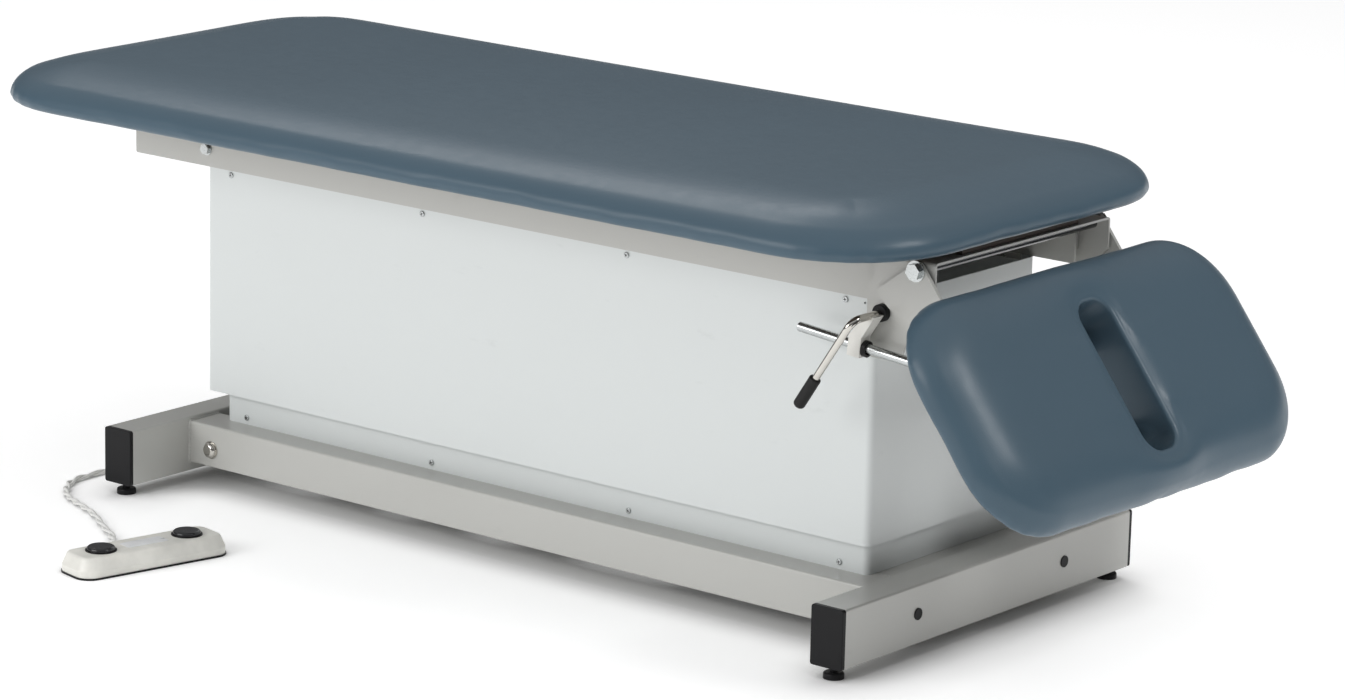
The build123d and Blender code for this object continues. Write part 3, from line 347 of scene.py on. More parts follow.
def bare_metal(name, colour, roughness, stretch, scale=260.0, depth=0.00001):
    """Bare or plated metal: fine scratches drawn along one axis and uneven polish."""
    material, nodes, links, surface, source = new_material(name)
    surface.inputs["Metallic"].default_value = 1.0
    cloud = noise(nodes, links, source, 45.0, 4.0)
    links.new(two_tone(nodes, links, remap(nodes, links, cloud, 0.3, 0.7, 0.0, 1.0),
                       shade(colour, 0.92), shade(colour, 1.04)), surface.inputs["Base Color"])
    drawn = noise(nodes, links, source, scale, 4.0, 0.6, stretch)
    links.new(bump(nodes, links, drawn, depth, 0.5), surface.inputs["Normal"])
    links.new(remap(nodes, links, drawn, 0.2, 0.8, roughness * 0.7, roughness * 1.35),
              surface.inputs["Roughness"])
    return material


def stained_ply(name, colour):
    """Dark-stained plywood: long grain on the faces and thin plies through the thickness."""
    material, nodes, links, surface, source = new_material(name)
    grain = noise(nodes, links, source, 26.0, 6.0, 0.6, (0.12, 1.6, 6.0))
    links.new(two_tone(nodes, links, remap(nodes, links, grain, 0.3, 0.7, 0.0, 1.0),
                       shade(colour, 0.55), shade(colour, 1.35)), surface.inputs["Base Color"])
    links.new(bump(nodes, links, grain, 0.0003, 0.4), surface.inputs["Normal"])
    links.new(remap(nodes, links, grain, 0.2, 0.8, 0.55, 0.75), surface.inputs["Roughness"])
    return material


def cord_jacket(name, colour):
    """Soft extruded cord jacket: small scuffs in its colour, its bump and its gloss."""
    material, nodes, links, surface, source = new_material(name)
    scuff = noise(nodes, links, source, 180.0, 4.0)
    links.new(two_tone(nodes, links, remap(nodes, links, scuff, 0.3, 0.7, 0.0, 1.0),
                       shade(colour, 0.93), shade(colour, 1.03)), surface.inputs["Base Color"])
    links.new(bump(nodes, links, scuff, 0.00006, 0.4), surface.inputs["Normal"])
    links.new(remap(nodes, links, scuff, 0.2, 0.8, 0.38, 0.5), surface.inputs["Roughness"])
    return material


def paint_node(node, material):
    """Puts one finish on every slot of a CAD node."""
    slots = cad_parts[node].material_slots
    if not slots:
        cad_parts[node].data.materials.append(material)
    for entry in slots:
        entry.material = material


FINISHED = {
    "frame_paint": ("left_foot_tube", "right_foot_tube", "front_base_rail", "back_base_rail",
                    "base_cross_members", "front_top_rail", "back_top_rail",
                    "top_cross_members", "frame_blocks", "hinge_bracket", "drop_arms"),
    "cover_paint": ("lower_cover", "upper_cover"),
    "lift_paint": ("scissor_arms_a", "scissor_arms_b", "lower_roller_tracks",
                   "upper_roller_tracks", "actuator_bracket", "actuator_body",
                   "drop_cross_bars"),
    "black_plastic": ("foot_end_caps", "tube_plugs", "power_inlet",
                      "levelling_foot_front_left", "levelling_foot_back_left",
                      "levelling_foot_front_right", "levelling_foot_back_right", "cord_gland",
                      "clamp_collar", "lever_bushing", "foot_switch_base", "control_box"),
    "slide_strip": ("lower_cover_strips", "upper_cover_strips"),
    "shaft_steel": ("scissor_shafts_a", "scissor_shafts_b", "upper_pivot_shaft", "actuator_rod"),
    "dark_rod": ("cross_rod",),
    "nylon": ("upper_rollers", "lower_rollers", "clamp_block"),
    "bright_zinc": ("frame_bolts", "hinge_bolts", "lower_cover_screws", "upper_cover_screws",
                    "rod_pivot_pin", "lock_rod"),
    "chrome": ("lower_pivot_shaft", "lock_lever"),
    "stained_ply": ("main_board", "drop_board", "support_boards"),
    "grip_rubber": ("lever_grip",),
    "switch_shell": ("foot_switch_case",),
    "button_black": ("foot_button_lower", "foot_button_raise"),
}


def make_finishes(settings):
    """Every finish by the name that the table of nodes uses."""
    return {
        "frame_paint": powder_coat("frame_powder_coat", settings.frame_colour, 0.28),
        "cover_paint": powder_coat("cover_powder_coat", settings.cover_colour, 0.42),
        "lift_paint": powder_coat("lift_black_paint", (0.035, 0.035, 0.038), 0.4),
        "black_plastic": moulded("black_moulding", settings.plastic_colour, 0.42, specular=0.2),
        "slide_strip": moulded("slide_strip_plastic", (0.6, 0.6, 0.58), 0.5),
        "shaft_steel": bare_metal("ground_shaft", (0.52, 0.52, 0.52), 0.28, (6.0, 0.4, 6.0)),
        "dark_rod": bare_metal("oiled_rod", (0.10, 0.10, 0.105), 0.22, (6.0, 0.4, 6.0)),
        "nylon": moulded("natural_nylon", (0.76, 0.75, 0.71), 0.45),
        "bright_zinc": bare_metal("zinc_plate", (0.50, 0.52, 0.52), 0.26, (0.6, 6.0, 6.0)),
        "chrome": bare_metal("chrome_plate", (0.60, 0.58, 0.54), 0.08, (1.0, 1.0, 1.0), 120.0),
        "stained_ply": stained_ply("dark_plywood", (0.05, 0.036, 0.028)),
        "grip_rubber": moulded("grip_rubber", (0.008, 0.008, 0.008), 0.5, 0.00012, 500.0, 0.3),
        "switch_shell": moulded("switch_moulding", settings.switch_colour, 0.36, 0.00004),
        "button_black": moulded("button_moulding", (0.012, 0.012, 0.014), 0.16, 0.00001),
    }


class ExamTableFinishOperator(bpy.types.Operator):
    """Gives each frame, cover, fitting and fastener its paint, plate or plastic"""

    bl_idname = "exam_table.finishes"
    bl_label = "Paint and plate the parts"

    def execute(self, context):
        finishes = make_finishes(context.scene.exam_table_finishes)
        for finish, members in FINISHED.items():
            for node in members:
                paint_node(node, finishes[finish])
        return {"FINISHED"}


# ------------------------------------------------------------------ pads
MAIN_CORNER = 0.160
MAIN_BOARD = (0.022, 0.016)
MAIN_SWELL = 0.0022
DROP_HINGE = (0.627, 0.0, 0.489)
DROP_TILT = math.radians(52.7)
DROP_START = (0.0495, 0.0116)
DROP_SIZE = (0.310, 0.648, 0.056)
DROP_CORNER = 0.104
DROP_BOARD = (0.022, 0.012)
DROP_SLOT = (0.059, 0.206, 0.066)
DROP_SWELL = 0.0018
DROP_OUT = (math.cos(DROP_TILT), 0.0, -math.sin(DROP_TILT))
DROP_UP = (math.sin(DROP_TILT), 0.0, math.cos(DROP_TILT))
BOARD_GAP = 0.0006
RIM_GAP = 0.0004
LID_FALL = 0.001
SLEEVE_GAP = 0.0018
LIP_FALL = 0.0025
FOLD_PITCH = 0.012
FOLD_HEIGHT = 0.006
FOLD_REACH = 0.012
# each wave of the vinyl's lower edge: its share, its turns in radians a metre, and its start
MAIN_WAVES = ((1.0, 20.3, 0.0), (0.6, 53.7, 1.3), (0.55, 97.0, 0.4))
DROP_WAVES = ((1.0, 23.0, 0.0), (0.6, 60.0, 0.7), (0.5, 104.0, 0.0))
MAIN_RIPPLE = 0.0009
DROP_RIPPLE = 0.0007
EVENING_PASSES = 60


def rounded_grid(length, width, corner, columns, rows):
    """A sheet over a rounded rectangle: a regular grid, with each point of a corner's square
    pulled along its own ray by its larger coordinate over its distance, which makes an arc."""
    def spread(half, count):
        inner = half - corner
        near = max(4, int(count * 0.22))
        t = np.linspace(0, 1, near + 1)[1:]
        outer = inner + corner * (1 - (1 - t) ** 1.5)
        middle = np.linspace(-inner, inner, count - 2 * near)
        return np.concatenate((-outer[::-1], middle, outer))

    x, y = np.meshgrid(spread(length / 2, columns), spread(width / 2, rows), indexing="ij")
    inner_x, inner_y = length / 2 - corner, width / 2 - corner
    over_x, over_y = np.abs(x) - inner_x, np.abs(y) - inner_y
    both = (over_x > 0) & (over_y > 0)
    ratio = np.maximum(over_x, over_y) / np.maximum(np.hypot(over_x, over_y), 1e-9)
    x = np.where(both, np.sign(x) * (inner_x + over_x * ratio), x)
    y = np.where(both, np.sign(y) * (inner_y + over_y * ratio), y)
    return x, y


def loop_of(rows, columns):
    """Indices round a grid's border, anticlockwise, once."""
    i = np.arange(rows * columns).reshape(rows, columns)
    return np.concatenate((i[:-1, 0], i[-1, :-1], i[:0:-1, -1], i[0, :0:-1]))


def outward(loop):
    """Unit normals of a closed anticlockwise loop, square to the line through its neighbours."""
    along = np.roll(loop, -1, axis=0) - np.roll(loop, 1, axis=0)
    normal = np.stack((along[:, 1], -along[:, 0]), axis=1)
    return normal / np.linalg.norm(normal, axis=1, keepdims=True)


def edge_profile(thick, upper, lower, steps):
    """The sloping edge from the top's border to the underside, as distance outwards and height.
    The slope is a quarter of a superellipse: its height over the widest point is the root of one
    less the distance's share to the power 2.1. The roll under it is a quarter circle."""
    a = np.linspace(0, np.pi / 2, steps)
    share = np.sin(a)
    rise = np.sqrt(np.maximum(1 - share ** 2.1, 0))
    top = np.stack((upper * share, lower + (thick - lower) * rise), axis=1)
    low = np.stack((upper - lower * (1 - np.cos(a[1:])), lower * (1 - np.sin(a[1:]))), axis=1)
    return np.concatenate((top, low[::2] if steps % 2 == 0 else low[1::2]))


def neighbour_sum(values, ends):
    """At each point, the sum of its neighbours' values; a row of ends is an edge's two points."""
    total = np.zeros_like(values)
    np.add.at(total, ends[:, 0], values[ends[:, 1]])
    np.add.at(total, ends[:, 1], values[ends[:, 0]])
    return total


def relax(points, faces, free, passes):
    """Points whose flag is set move to the mean of themselves and their neighbours, several times,
    which turns a change of curvature into a smooth passage."""
    ends = np.concatenate([faces[:, [k, (k + 1) % 4]] for k in range(4)])
    share = np.bincount(ends.ravel(), minlength=len(points))[:, None]
    for _ in range(passes):
        mean = neighbour_sum(points, ends) / share
        points = np.where(free[:, None], (points + mean) / 2, points)
    return points


def swell(piece, pinned, pressure, steps, limit):
    """Cloth under pressure with its underside pinned, applied. No point moves past a limit, and
    each point's move is then averaged with its neighbours', so the pad fills out evenly."""
    if pressure <= 0:
        return
    count = len(piece.data.vertices)
    before = np.empty(count * 3)
    piece.data.vertices.foreach_get("co", before)
    before = before.reshape(-1, 3)
    group = piece.vertex_groups.new(name="pinned")
    group.add([int(i) for i in pinned], 1.0, "REPLACE")
    modifier = piece.modifiers.new("swell", "CLOTH")
    cloth = modifier.settings
    cloth.vertex_group_mass = "pinned"
    cloth.use_pressure = True
    cloth.uniform_pressure_force = pressure
    cloth.effector_weights.gravity = 0.0
    cloth.quality = 5
    cloth.tension_stiffness = cloth.compression_stiffness = 40.0
    cloth.bending_stiffness = 4.0
    scene = bpy.context.scene
    modifier.point_cache.frame_start = 1
    modifier.point_cache.frame_end = steps
    for step in range(1, steps + 1):
        scene.frame_set(step)
    settled = piece.evaluated_get(bpy.context.evaluated_depsgraph_get()).data
    after = np.empty(count * 3)
    settled.vertices.foreach_get("co", after)
    piece.modifiers.remove(modifier)
    scene.frame_set(1)
    move = after.reshape(-1, 3) - before
    size = np.linalg.norm(move, axis=1, keepdims=True)
    move *= np.minimum(1.0, limit / np.maximum(size, 1e-9))
    ends = np.empty(len(piece.data.edges) * 2, int)
    piece.data.edges.foreach_get("vertices", ends)
    share = np.bincount(ends, minlength=count)[:, None]
    ends = ends.reshape(-1, 2)
    for _ in range(EVENING_PASSES):
        move = neighbour_sum(move, ends) / share
        move[pinned] = 0.0
    piece.data.vertices.foreach_set("co", (before + move).ravel())
    piece.data.update()


def subdivide(piece, levels):
    """One or more levels of subdivision, the same in the view and in the render."""
    modifier = piece.modifiers.new("smooth", "SUBSURF")
    modifier.levels = modifier.render_levels = levels


def edge_folds(loop, normal, gather, ripple, waves):
    """How far a pad's lower edge stands out round its border: fine gathers, which are strongest
    where the border runs diagonally round a corner, plus slow uneven waves, a sum of sines."""
    bend = np.abs(normal[:, 0] * normal[:, 1]) * 2
    run = np.cumsum(np.linalg.norm(np.roll(loop, -1, 0) - loop, axis=1))
    slow = sum(share * np.sin(run * rate + start) for share, rate, start in waves)
    return gather * (bend * np.sin(run * 2 * np.pi / FOLD_PITCH)) + ripple * slow


def fold_fade(height):
    """The folds' strength over the height: a bell curve just above the underside."""
    return np.exp(-((height - FOLD_HEIGHT) / FOLD_REACH) ** 2)


def main_pad_shell(low, high, corner, board_inset, board_high, settings):
    """The long pad as a closed shell: a crowned sheet over the plan, a rolled edge carried round
    its border, a flat rim under it and a recess for the plywood."""
    centre = (np.array(low) + np.array(high)) / 2
    length, width, thick = np.array(high) - np.array(low)
    upper, lower = settings.main_slope, settings.lower_roll
    columns, rows = 118, 58
    x, y = rounded_grid(length - 2 * upper, width - 2 * upper, corner - upper, columns, rows)
    inner_x, inner_y = length / 2 - upper, width / 2 - upper
    lift = settings.crown * (1 - (x / inner_x) ** 2) ** 2 * (1 - (y / inner_y) ** 2) ** 2
    top = np.stack((x, y, thick - LID_FALL + lift), axis=-1).reshape(-1, 3)
    border = loop_of(columns, rows)
    loop = top[border][:, :2]
    normal = outward(loop)
    profile = edge_profile(thick, upper, lower, 20)[1:]
    rim_in = upper - board_inset + RIM_GAP
    lid_height = board_high + BOARD_GAP
    recess = (((upper - lower + rim_in) / 2, 0.0), (rim_in, 0.0), (rim_in, board_high / 2),
              (rim_in, lid_height))
    profile = np.concatenate((profile, recess))
    out, height = profile.T
    rings = np.empty((len(out), len(loop), 3))
    rings[..., :2] = loop[None] + out[:, None, None] * normal[None]
    drop = top[border][:, 2] - thick
    blend = np.clip(height / thick, 0, 1)
    rings[..., 2] = height[:, None] + drop[None] * blend[:, None] ** 2
    folds = edge_folds(loop, normal, settings.gather, MAIN_RIPPLE, MAIN_WAVES)
    tuck = folds[None] * fold_fade(height)[:, None]
    edge = len(out) - len(recess)
    rings[:edge, :, :2] += tuck[:edge, :, None] * normal[None]
    shelf_x = x * (1 - 2 * (board_inset - upper) / length)
    shelf_y = y * (1 - 2 * (board_inset - upper) / width)
    count = len(top)
    points = np.concatenate((top, rings.reshape(-1, 3)))
    ring_index = count + np.arange(len(out) * len(loop)).reshape(len(out), -1)
    all_rings = np.concatenate((border[None], ring_index))
    k = np.arange(len(loop))
    m = (k + 1) % len(loop)
    bands = np.stack((all_rings[:-1][:, k], all_rings[1:][:, k], all_rings[1:][:, m],
                      all_rings[:-1][:, m]), axis=-1).reshape(-1, 4)
    lid = np.stack((shelf_x, shelf_y, np.full_like(x, lid_height)), -1).reshape(-1, 3)
    lid_border = np.zeros(count, bool)
    lid_border[border] = True
    index = np.empty(count, int)
    index[~lid_border] = len(points) + np.arange((~lid_border).sum())
    index[border] = all_rings[-1]
    points = np.concatenate((points, lid[~lid_border]))
    sheet = grid_faces(columns, rows)
    faces = np.concatenate((sheet[:, ::-1], bands, index[sheet]))
    points = points + np.array((centre[0], centre[1], low[2]))
    points = relax(points, faces, points[:, 2] > low[2] + thick * 0.7, 26)
    pinned = np.nonzero(points[:, 2] < low[2] + thick * 0.35)[0]
    return points, faces, pinned


def ray_outline(angle, length, width, corner, centre=0.0):
    """Where rays from the middle meet a rounded rectangle: the straight side's distance over the
    ray's slope, or the far root of the corner circle's quadratic where the ray meets the arc."""
    c, s = np.cos(angle), np.sin(angle)
    half_l, half_w = length / 2, width / 2
    reach = np.minimum(half_l / np.maximum(np.abs(c), 1e-9), half_w / np.maximum(np.abs(s), 1e-9))
    x, y = np.abs(reach * c), np.abs(reach * s)
    arc = (x > half_l - corner) & (y > half_w - corner)
    ax, ay = half_l - corner, half_w - corner
    b = np.abs(c) * ax + np.abs(s) * ay
    root = b + np.sqrt(np.maximum(b * b - (ax * ax + ay * ay - corner * corner), 0))
    reach = np.where(arc, root, reach)
    return np.stack((reach * c + centre, reach * s), axis=1)


def shared_angles(outer, inner, shift, count):
    """Angles of rays spread evenly by the mean of two outlines' runs, so that both the pad's
    edge and the slot get points all the way round."""
    fine = np.linspace(0, 2 * np.pi, 6001)
    share = np.zeros(len(fine))
    for line in (ray_outline(fine, *outer), ray_outline(fine, *inner, shift)):
        run = np.concatenate(([0], np.cumsum(np.linalg.norm(np.diff(line, axis=0), axis=1))))
        share += run / run[-1] / 2
    return np.interp(np.linspace(0, 1, count, endpoint=False), share, fine)


def drop_pad_shell(length, width, corner, thick, board_inset, board_high, slot, settings):
    """The drop section's pad as one closed ring: its section runs from the slot's lip over the
    top, round the rolled edge, under the rim, up the recess and back along the plywood."""
    slot_start, slot_long, slot_wide = slot
    slot_mid = slot_start + slot_long / 2
    lower, lip = settings.lower_roll, settings.lip
    slot_corner = slot_wide / 2 - 0.006
    shift = slot_mid - length / 2
    angles = shared_angles((length, width, corner), (slot_long, slot_wide, slot_corner), shift,
                           320)
    outer = ray_outline(angles, length, width, corner)
    inner = ray_outline(angles, slot_long, slot_wide, slot_corner, shift)
    out_normal, in_normal = outward(outer), outward(inner - (shift, 0))
    rows = []

    def ring(plan, height):
        rows.append(np.column_stack((plan, np.broadcast_to(height, len(plan)))))

    sleeve = inner - in_normal * SLEEVE_GAP
    behind = inner - in_normal * BOARD_GAP
    wall = inner + in_normal * BOARD_GAP
    lid_height = board_high + BOARD_GAP
    for height in (0.0005, board_high / 2, board_high, board_high + 0.010, board_high + 0.020):
        ring(sleeve, height)
    for a in np.linspace(0, np.pi / 2, 8)[1:]:
        ring(sleeve + in_normal * (lip + SLEEVE_GAP) * (1 - np.cos(a)),
             thick - LIP_FALL - lip * (1 - np.sin(a)))
    start = sleeve + in_normal * (lip + SLEEVE_GAP)
    room = 0.72 * np.linalg.norm(outer - start, axis=1)
    upper = (settings.drop_slope ** -3 + room ** -3) ** (-1 / 3)
    edge = outer - out_normal * upper[:, None]
    for t in np.linspace(0, 1, 16)[1:-1]:
        plan = start * (1 - t) + edge * t
        near = np.linalg.norm(plan - start, axis=1)
        far = np.linalg.norm(plan - edge, axis=1)
        crown = far / (far + near + 1e-6) * np.minimum(1, far / 0.08)
        ring(plan, thick + settings.crown * crown ** 2
             - LIP_FALL * np.exp(-(near / 0.012) ** 2))
    folds = edge_folds(outer, out_normal, settings.gather, DROP_RIPPLE, DROP_WAVES)
    for share, height in edge_profile(thick, 1.0, lower, 19):
        under = height <= lower + 1e-6
        out = upper - (1.0 - share) if under else upper * share
        ring(edge + out_normal * (out + folds * fold_fade(height))[:, None], height)
    rim = outer - out_normal * (board_inset - RIM_GAP)
    ring((rows[-1][:, :2] + rim) / 2, 0.0)
    for height in (0.0, board_high / 2, lid_height):
        ring(rim, height)
    for t in (0.2, 0.4, 0.6, 0.8, 1.0):
        ring(rim * (1 - t) + wall * t, lid_height)
    for height in (lid_height, board_high / 2, 0.0005):
        ring(behind, height)
    points = np.array(rows)
    faces = grid_faces(*points.shape[:2], close_rows=True, close_columns=True)[:, ::-1]
    free = (points[..., 2] > thick * 0.7) & (np.arange(len(points)) > 17)[:, None]
    points = relax(points.reshape(-1, 3), faces, free.ravel(), 22) + (length / 2, 0, 0)
    pinned = np.nonzero((points[:, 2] < thick * 0.35))[0]
    return points, faces, pinned


def drop_place(points):
    """Points of the drop pad's own frame carried to the folded-down section."""
    origin = (np.array(DROP_HINGE) + np.array(DROP_OUT) * DROP_START[0]
              + np.array(DROP_UP) * DROP_START[1])
    return place(points, origin, DROP_OUT, (0.0, 1.0, 0.0), DROP_UP)


class ExamTablePadOperator(bpy.types.Operator):
    """Makes the long pad and the drop section's pad in rolled-edge vinyl"""

    bl_idname = "exam_table.pads"
    bl_label = "Upholster the pads"

    def execute(self, context):
        settings = context.scene.exam_table_upholstery
        vinyl = vinyl_finish(settings.colour)
        low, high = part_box("main_pad")
        points, faces, pinned = main_pad_shell(low, high, MAIN_CORNER, *MAIN_BOARD, settings)
        pad = make_piece("main_cushion", points, faces, vinyl)
        swell(pad, pinned, settings.pressure, settings.steps, MAIN_SWELL)
        subdivide(pad, 1)
        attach(pad, "table_top")
        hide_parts("main_pad")
        points, faces, pinned = drop_pad_shell(*DROP_SIZE[:2], DROP_CORNER, DROP_SIZE[2],
                                               *DROP_BOARD, DROP_SLOT, settings)
        drop = make_piece("drop_cushion", drop_place(points), faces, vinyl)
        swell(drop, pinned, settings.pressure, settings.steps, DROP_SWELL)
        subdivide(drop, 1)
        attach(drop, "drop_section")
        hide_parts("drop_pad")
        return {"FINISHED"}


# ------------------------------------------------------------------ cord
CORD_ROUTE = (
    (-0.6440, -0.1700, 0.0450),
    (-0.6660, -0.1700, 0.0450),
    (-0.6835, -0.1750, 0.0285),
    (-0.6900, -0.1920, 0.0105),
    (-0.6890, -0.2170, 0.0042),
    (-0.6860, -0.2490, 0.0042),
    (-0.6880, -0.2810, 0.0042),
    (-0.6820, -0.3160, 0.0042),
    (-0.6550, -0.3500, 0.0042),
    (-0.6280, -0.3720, 0.0042),
    (-0.5820, -0.3890, 0.0042),
    (-0.5370, -0.4090, 0.0042),
    (-0.4970, -0.4370, 0.0042),
    (-0.4560, -0.4600, 0.0042),
    (-0.4280, -0.4850, 0.0057),
    (-0.4088, -0.5051, 0.0120),
    (-0.3892, -0.5094, 0.0120),
)
# how much wider the pair opens, where along the cord, and over what share of its length
LOOSE_STRETCHES = ((0.9, 0.38, 0.06), (0.7, 0.86, 0.05))
CORD_LIFT = 0.0002


def smooth_route(points):
    """Points along the NURBS line whose control points are the route's."""
    curve = bpy.data.curves.new("cord_route", "CURVE")
    curve.dimensions = "3D"
    spline = curve.splines.new("NURBS")
    spline.points.add(len(points) - 1)
    spline.points.foreach_set("co", [v for p in points for v in (*p, 1.0)])
    spline.order_u = 3
    spline.use_endpoint_u = True
    spline.resolution_u = 14
    holder = bpy.data.objects.new("cord_route", curve)
    bpy.context.scene.collection.objects.link(holder)
    line = bpy.data.meshes.new_from_object(
        holder.evaluated_get(bpy.context.evaluated_depsgraph_get()))
    path = np.empty(len(line.vertices) * 3)
    line.vertices.foreach_get("co", path)
    bpy.data.objects.remove(holder)
    bpy.data.meshes.remove(line)
    return path.reshape(-1, 3)


def even_steps(path, step):
    """The same line with points at even distances."""
    run = np.concatenate(([0], np.cumsum(np.linalg.norm(np.diff(path, axis=0), axis=1))))
    at = np.linspace(0, run[-1], max(8, int(run[-1] / step)))
    return np.stack([np.interp(at, run, path[:, k]) for k in range(3)], axis=1), at


def twisted_pair(path, at, strand, pair, pitch):
    """Two strands that wind round a line: each is the line plus an offset that turns once a
    pitch, flattened by the floor and opened out in the loose stretches."""
    tangent = np.gradient(path, axis=0)
    tangent /= np.linalg.norm(tangent, axis=1, keepdims=True)
    side = np.cross(tangent, (0.0, 0.0, 1.0))
    side /= np.linalg.norm(side, axis=1, keepdims=True)
    up = np.cross(side, tangent)
    total = at[-1]
    phase = 2 * np.pi * at / pitch + 0.9 * np.sin(2 * np.pi * at / total * 2.0)
    ends = np.clip(np.minimum(at, total - at) / 0.03, 0, 1)
    loose = sum(much * np.exp(-((at / total - where) / width) ** 2)
                for much, where, width in LOOSE_STRETCHES)
    tall = (pair - strand) / 2
    wide = tall * (1 + loose * ends)
    strands = []
    for turn in (0.0, np.pi):
        offset = (side * (np.cos(phase + turn) * wide)[:, None]
                  + up * (np.sin(phase + turn) * tall)[:, None])
        line = path + offset
        line[:, 2] = np.maximum(line[:, 2], strand / 2 + CORD_LIFT)
        strands.append(tube(line, strand / 2, 12))
    return join_shells(*strands)


class ExamTableCordOperator(bpy.types.Operator):
    """Lays the foot switch's twisted pair along its route on the floor"""

    bl_idname = "exam_table.cord"
    bl_label = "Lay the cord"

    def execute(self, context):
        settings = context.scene.exam_table_cord
        path, at = even_steps(smooth_route(CORD_ROUTE), 0.0022)
        points, faces = twisted_pair(path, at, settings.strand, settings.pair, settings.pitch)
        cord = make_piece("foot_switch_lead", points, faces,
                          cord_jacket("cord_jacket", (0.78, 0.78, 0.76)))
        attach(cord, "base")
        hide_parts("foot_switch_cord")
        return {"FINISHED"}


# ------------------------------------------------------------------ fittings
CROSS_OUTLINE = ((0, 1), (1, 1), (1, 0), (2, 0), (2, 1), (3, 1), (3, 2), (2, 2), (2, 3), (1, 3),
                 (1, 2), (0, 2))
CROSS_CELLS = ((0, 1, 10, 11), (2, 3, 4, 1), (4, 5, 6, 7), (10, 7, 8, 9), (1, 4, 7, 10))


def cross_plate(width, arm, thick):
    """A cross of two crossed arms as a thin closed plate: twelve outline points on four lines
    each way, a cell for each arm and the middle, and a wall round the outline."""
    lines = np.array((-width / 2, -arm / 2, arm / 2, width / 2))
    flat = lines[np.array(CROSS_OUTLINE)]
    low = np.column_stack((flat, np.zeros(12)))
    high = np.column_stack((flat, np.full(12, thick)))
    cells = np.array(CROSS_CELLS)
    k = np.arange(12)
    m = (k + 1) % 12
    wall = np.stack((k, m, m + 12, k + 12), axis=-1)
    return np.concatenate((low, high)), np.concatenate((cells[:, ::-1], cells + 12, wall))


def screw_rows(node, side):
    """The middles of one side's screw heads: four at even steps between the first and last."""
    low, high = np.array(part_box(node))
    head = 0.004
    x = np.linspace(low[0] + head, high[0] - head, 4)
    y = low[1] if side < 0 else high[1]
    return np.column_stack((x, np.full(4, y), np.full(4, (low[2] + high[2]) / 2)))


def rail_loop(x, y_low, y_high, z_low, z_high, corner):
    """A rounded rectangle in the plane of one x: each corner is a quarter circle."""
    turn = np.linspace(0, np.pi / 2, 7)
    left, right = y_low + corner, y_high - corner
    bottom, top = z_low + corner, z_high - corner
    rounds = []
    for step, (y, z) in enumerate(((right, top), (left, top), (left, bottom), (right, bottom))):
        a = turn + step * np.pi / 2
        rounds.append(np.column_stack((np.full(len(a), x), y + corner * np.cos(a),
                                       z + corner * np.sin(a))))
    loop = np.concatenate(rounds)
    return np.concatenate((loop, loop[:1]))


def weld_bead(loop, thick):
    """A rippled bead along a line: a round tube whose radius swells once every few millimetres."""
    path, at = even_steps(loop, 0.0009)
    ripple = 1 + 0.14 * np.sin(at * 2 * np.pi / 0.0042) + 0.05 * np.sin(at * 2 * np.pi / 0.019)
    return tube(path, thick / 2 * ripple, 8)


# a staple's wire as shares of its crown and heights, and the wire's radius
STAPLE_BEND = ((-0.5, 0.0010), (-0.47, -0.00015), (0.47, -0.00015), (0.5, 0.0010))
STAPLE_WIRE = 0.00045
STAPLE_INSET = 0.016


def staples(outline, inset, pitch, crown):
    """Wire staples round an outline, square to it: each is a short wire whose ends turn in."""
    closed = np.concatenate((outline, outline[:1]))
    run = np.concatenate(([0], np.cumsum(np.linalg.norm(np.diff(closed, axis=0), axis=1))))
    at = np.arange(pitch / 2, run[-1], pitch)
    spot = np.stack([np.interp(at, run, closed[:, k]) for k in range(2)], axis=1)
    ahead = np.stack([np.interp((at + 0.004) % run[-1], run, closed[:, k]) for k in range(2)], 1)
    along = (ahead - spot) / np.linalg.norm(ahead - spot, axis=1, keepdims=True)
    inward = np.column_stack((-along[:, 1], along[:, 0]))
    tilt = 0.35 * np.sin(np.arange(len(at)) * 2.399)[:, None]
    way = along * np.cos(tilt) + inward * np.sin(tilt)
    spot = spot + inward * (inset + 0.0012 * np.sin(np.arange(len(at)) * 1.7))[:, None]
    along_wire, height = np.array(STAPLE_BEND).T
    shells = []
    for middle, line in zip(spot, way):
        path = np.column_stack((middle + np.outer(along_wire * crown, line), height))
        shells.append(tube(path, STAPLE_WIRE, 6))
    return join_shells(*shells)


def rounded_plate(length, width, corner, thick, count=72):
    """A thin closed plate with rounded corners and a rounded upper edge: rings of one outline,
    each a little further in, from the underside's middle to the top's middle."""
    angle = np.linspace(0, 2 * np.pi, count, endpoint=False)
    line = ray_outline(angle, length, width, corner)
    rings = []
    for scale, height in ((0, 0), (1, 0), (1, 0.6), (0.985, 0.9), (0.96, 1), (0, 1)):
        rings.append(np.column_stack((line * scale, np.full(count, height * thick))))
    return (np.array(rings).reshape(-1, 3),
            grid_faces(len(rings), count, close_columns=True))


LABEL_SPOT = (-0.346, -0.511, 0.027)
LABEL_TURN = math.radians(77.7)
LABEL_SIZE = (0.062, 0.024, 0.004, 0.0005)


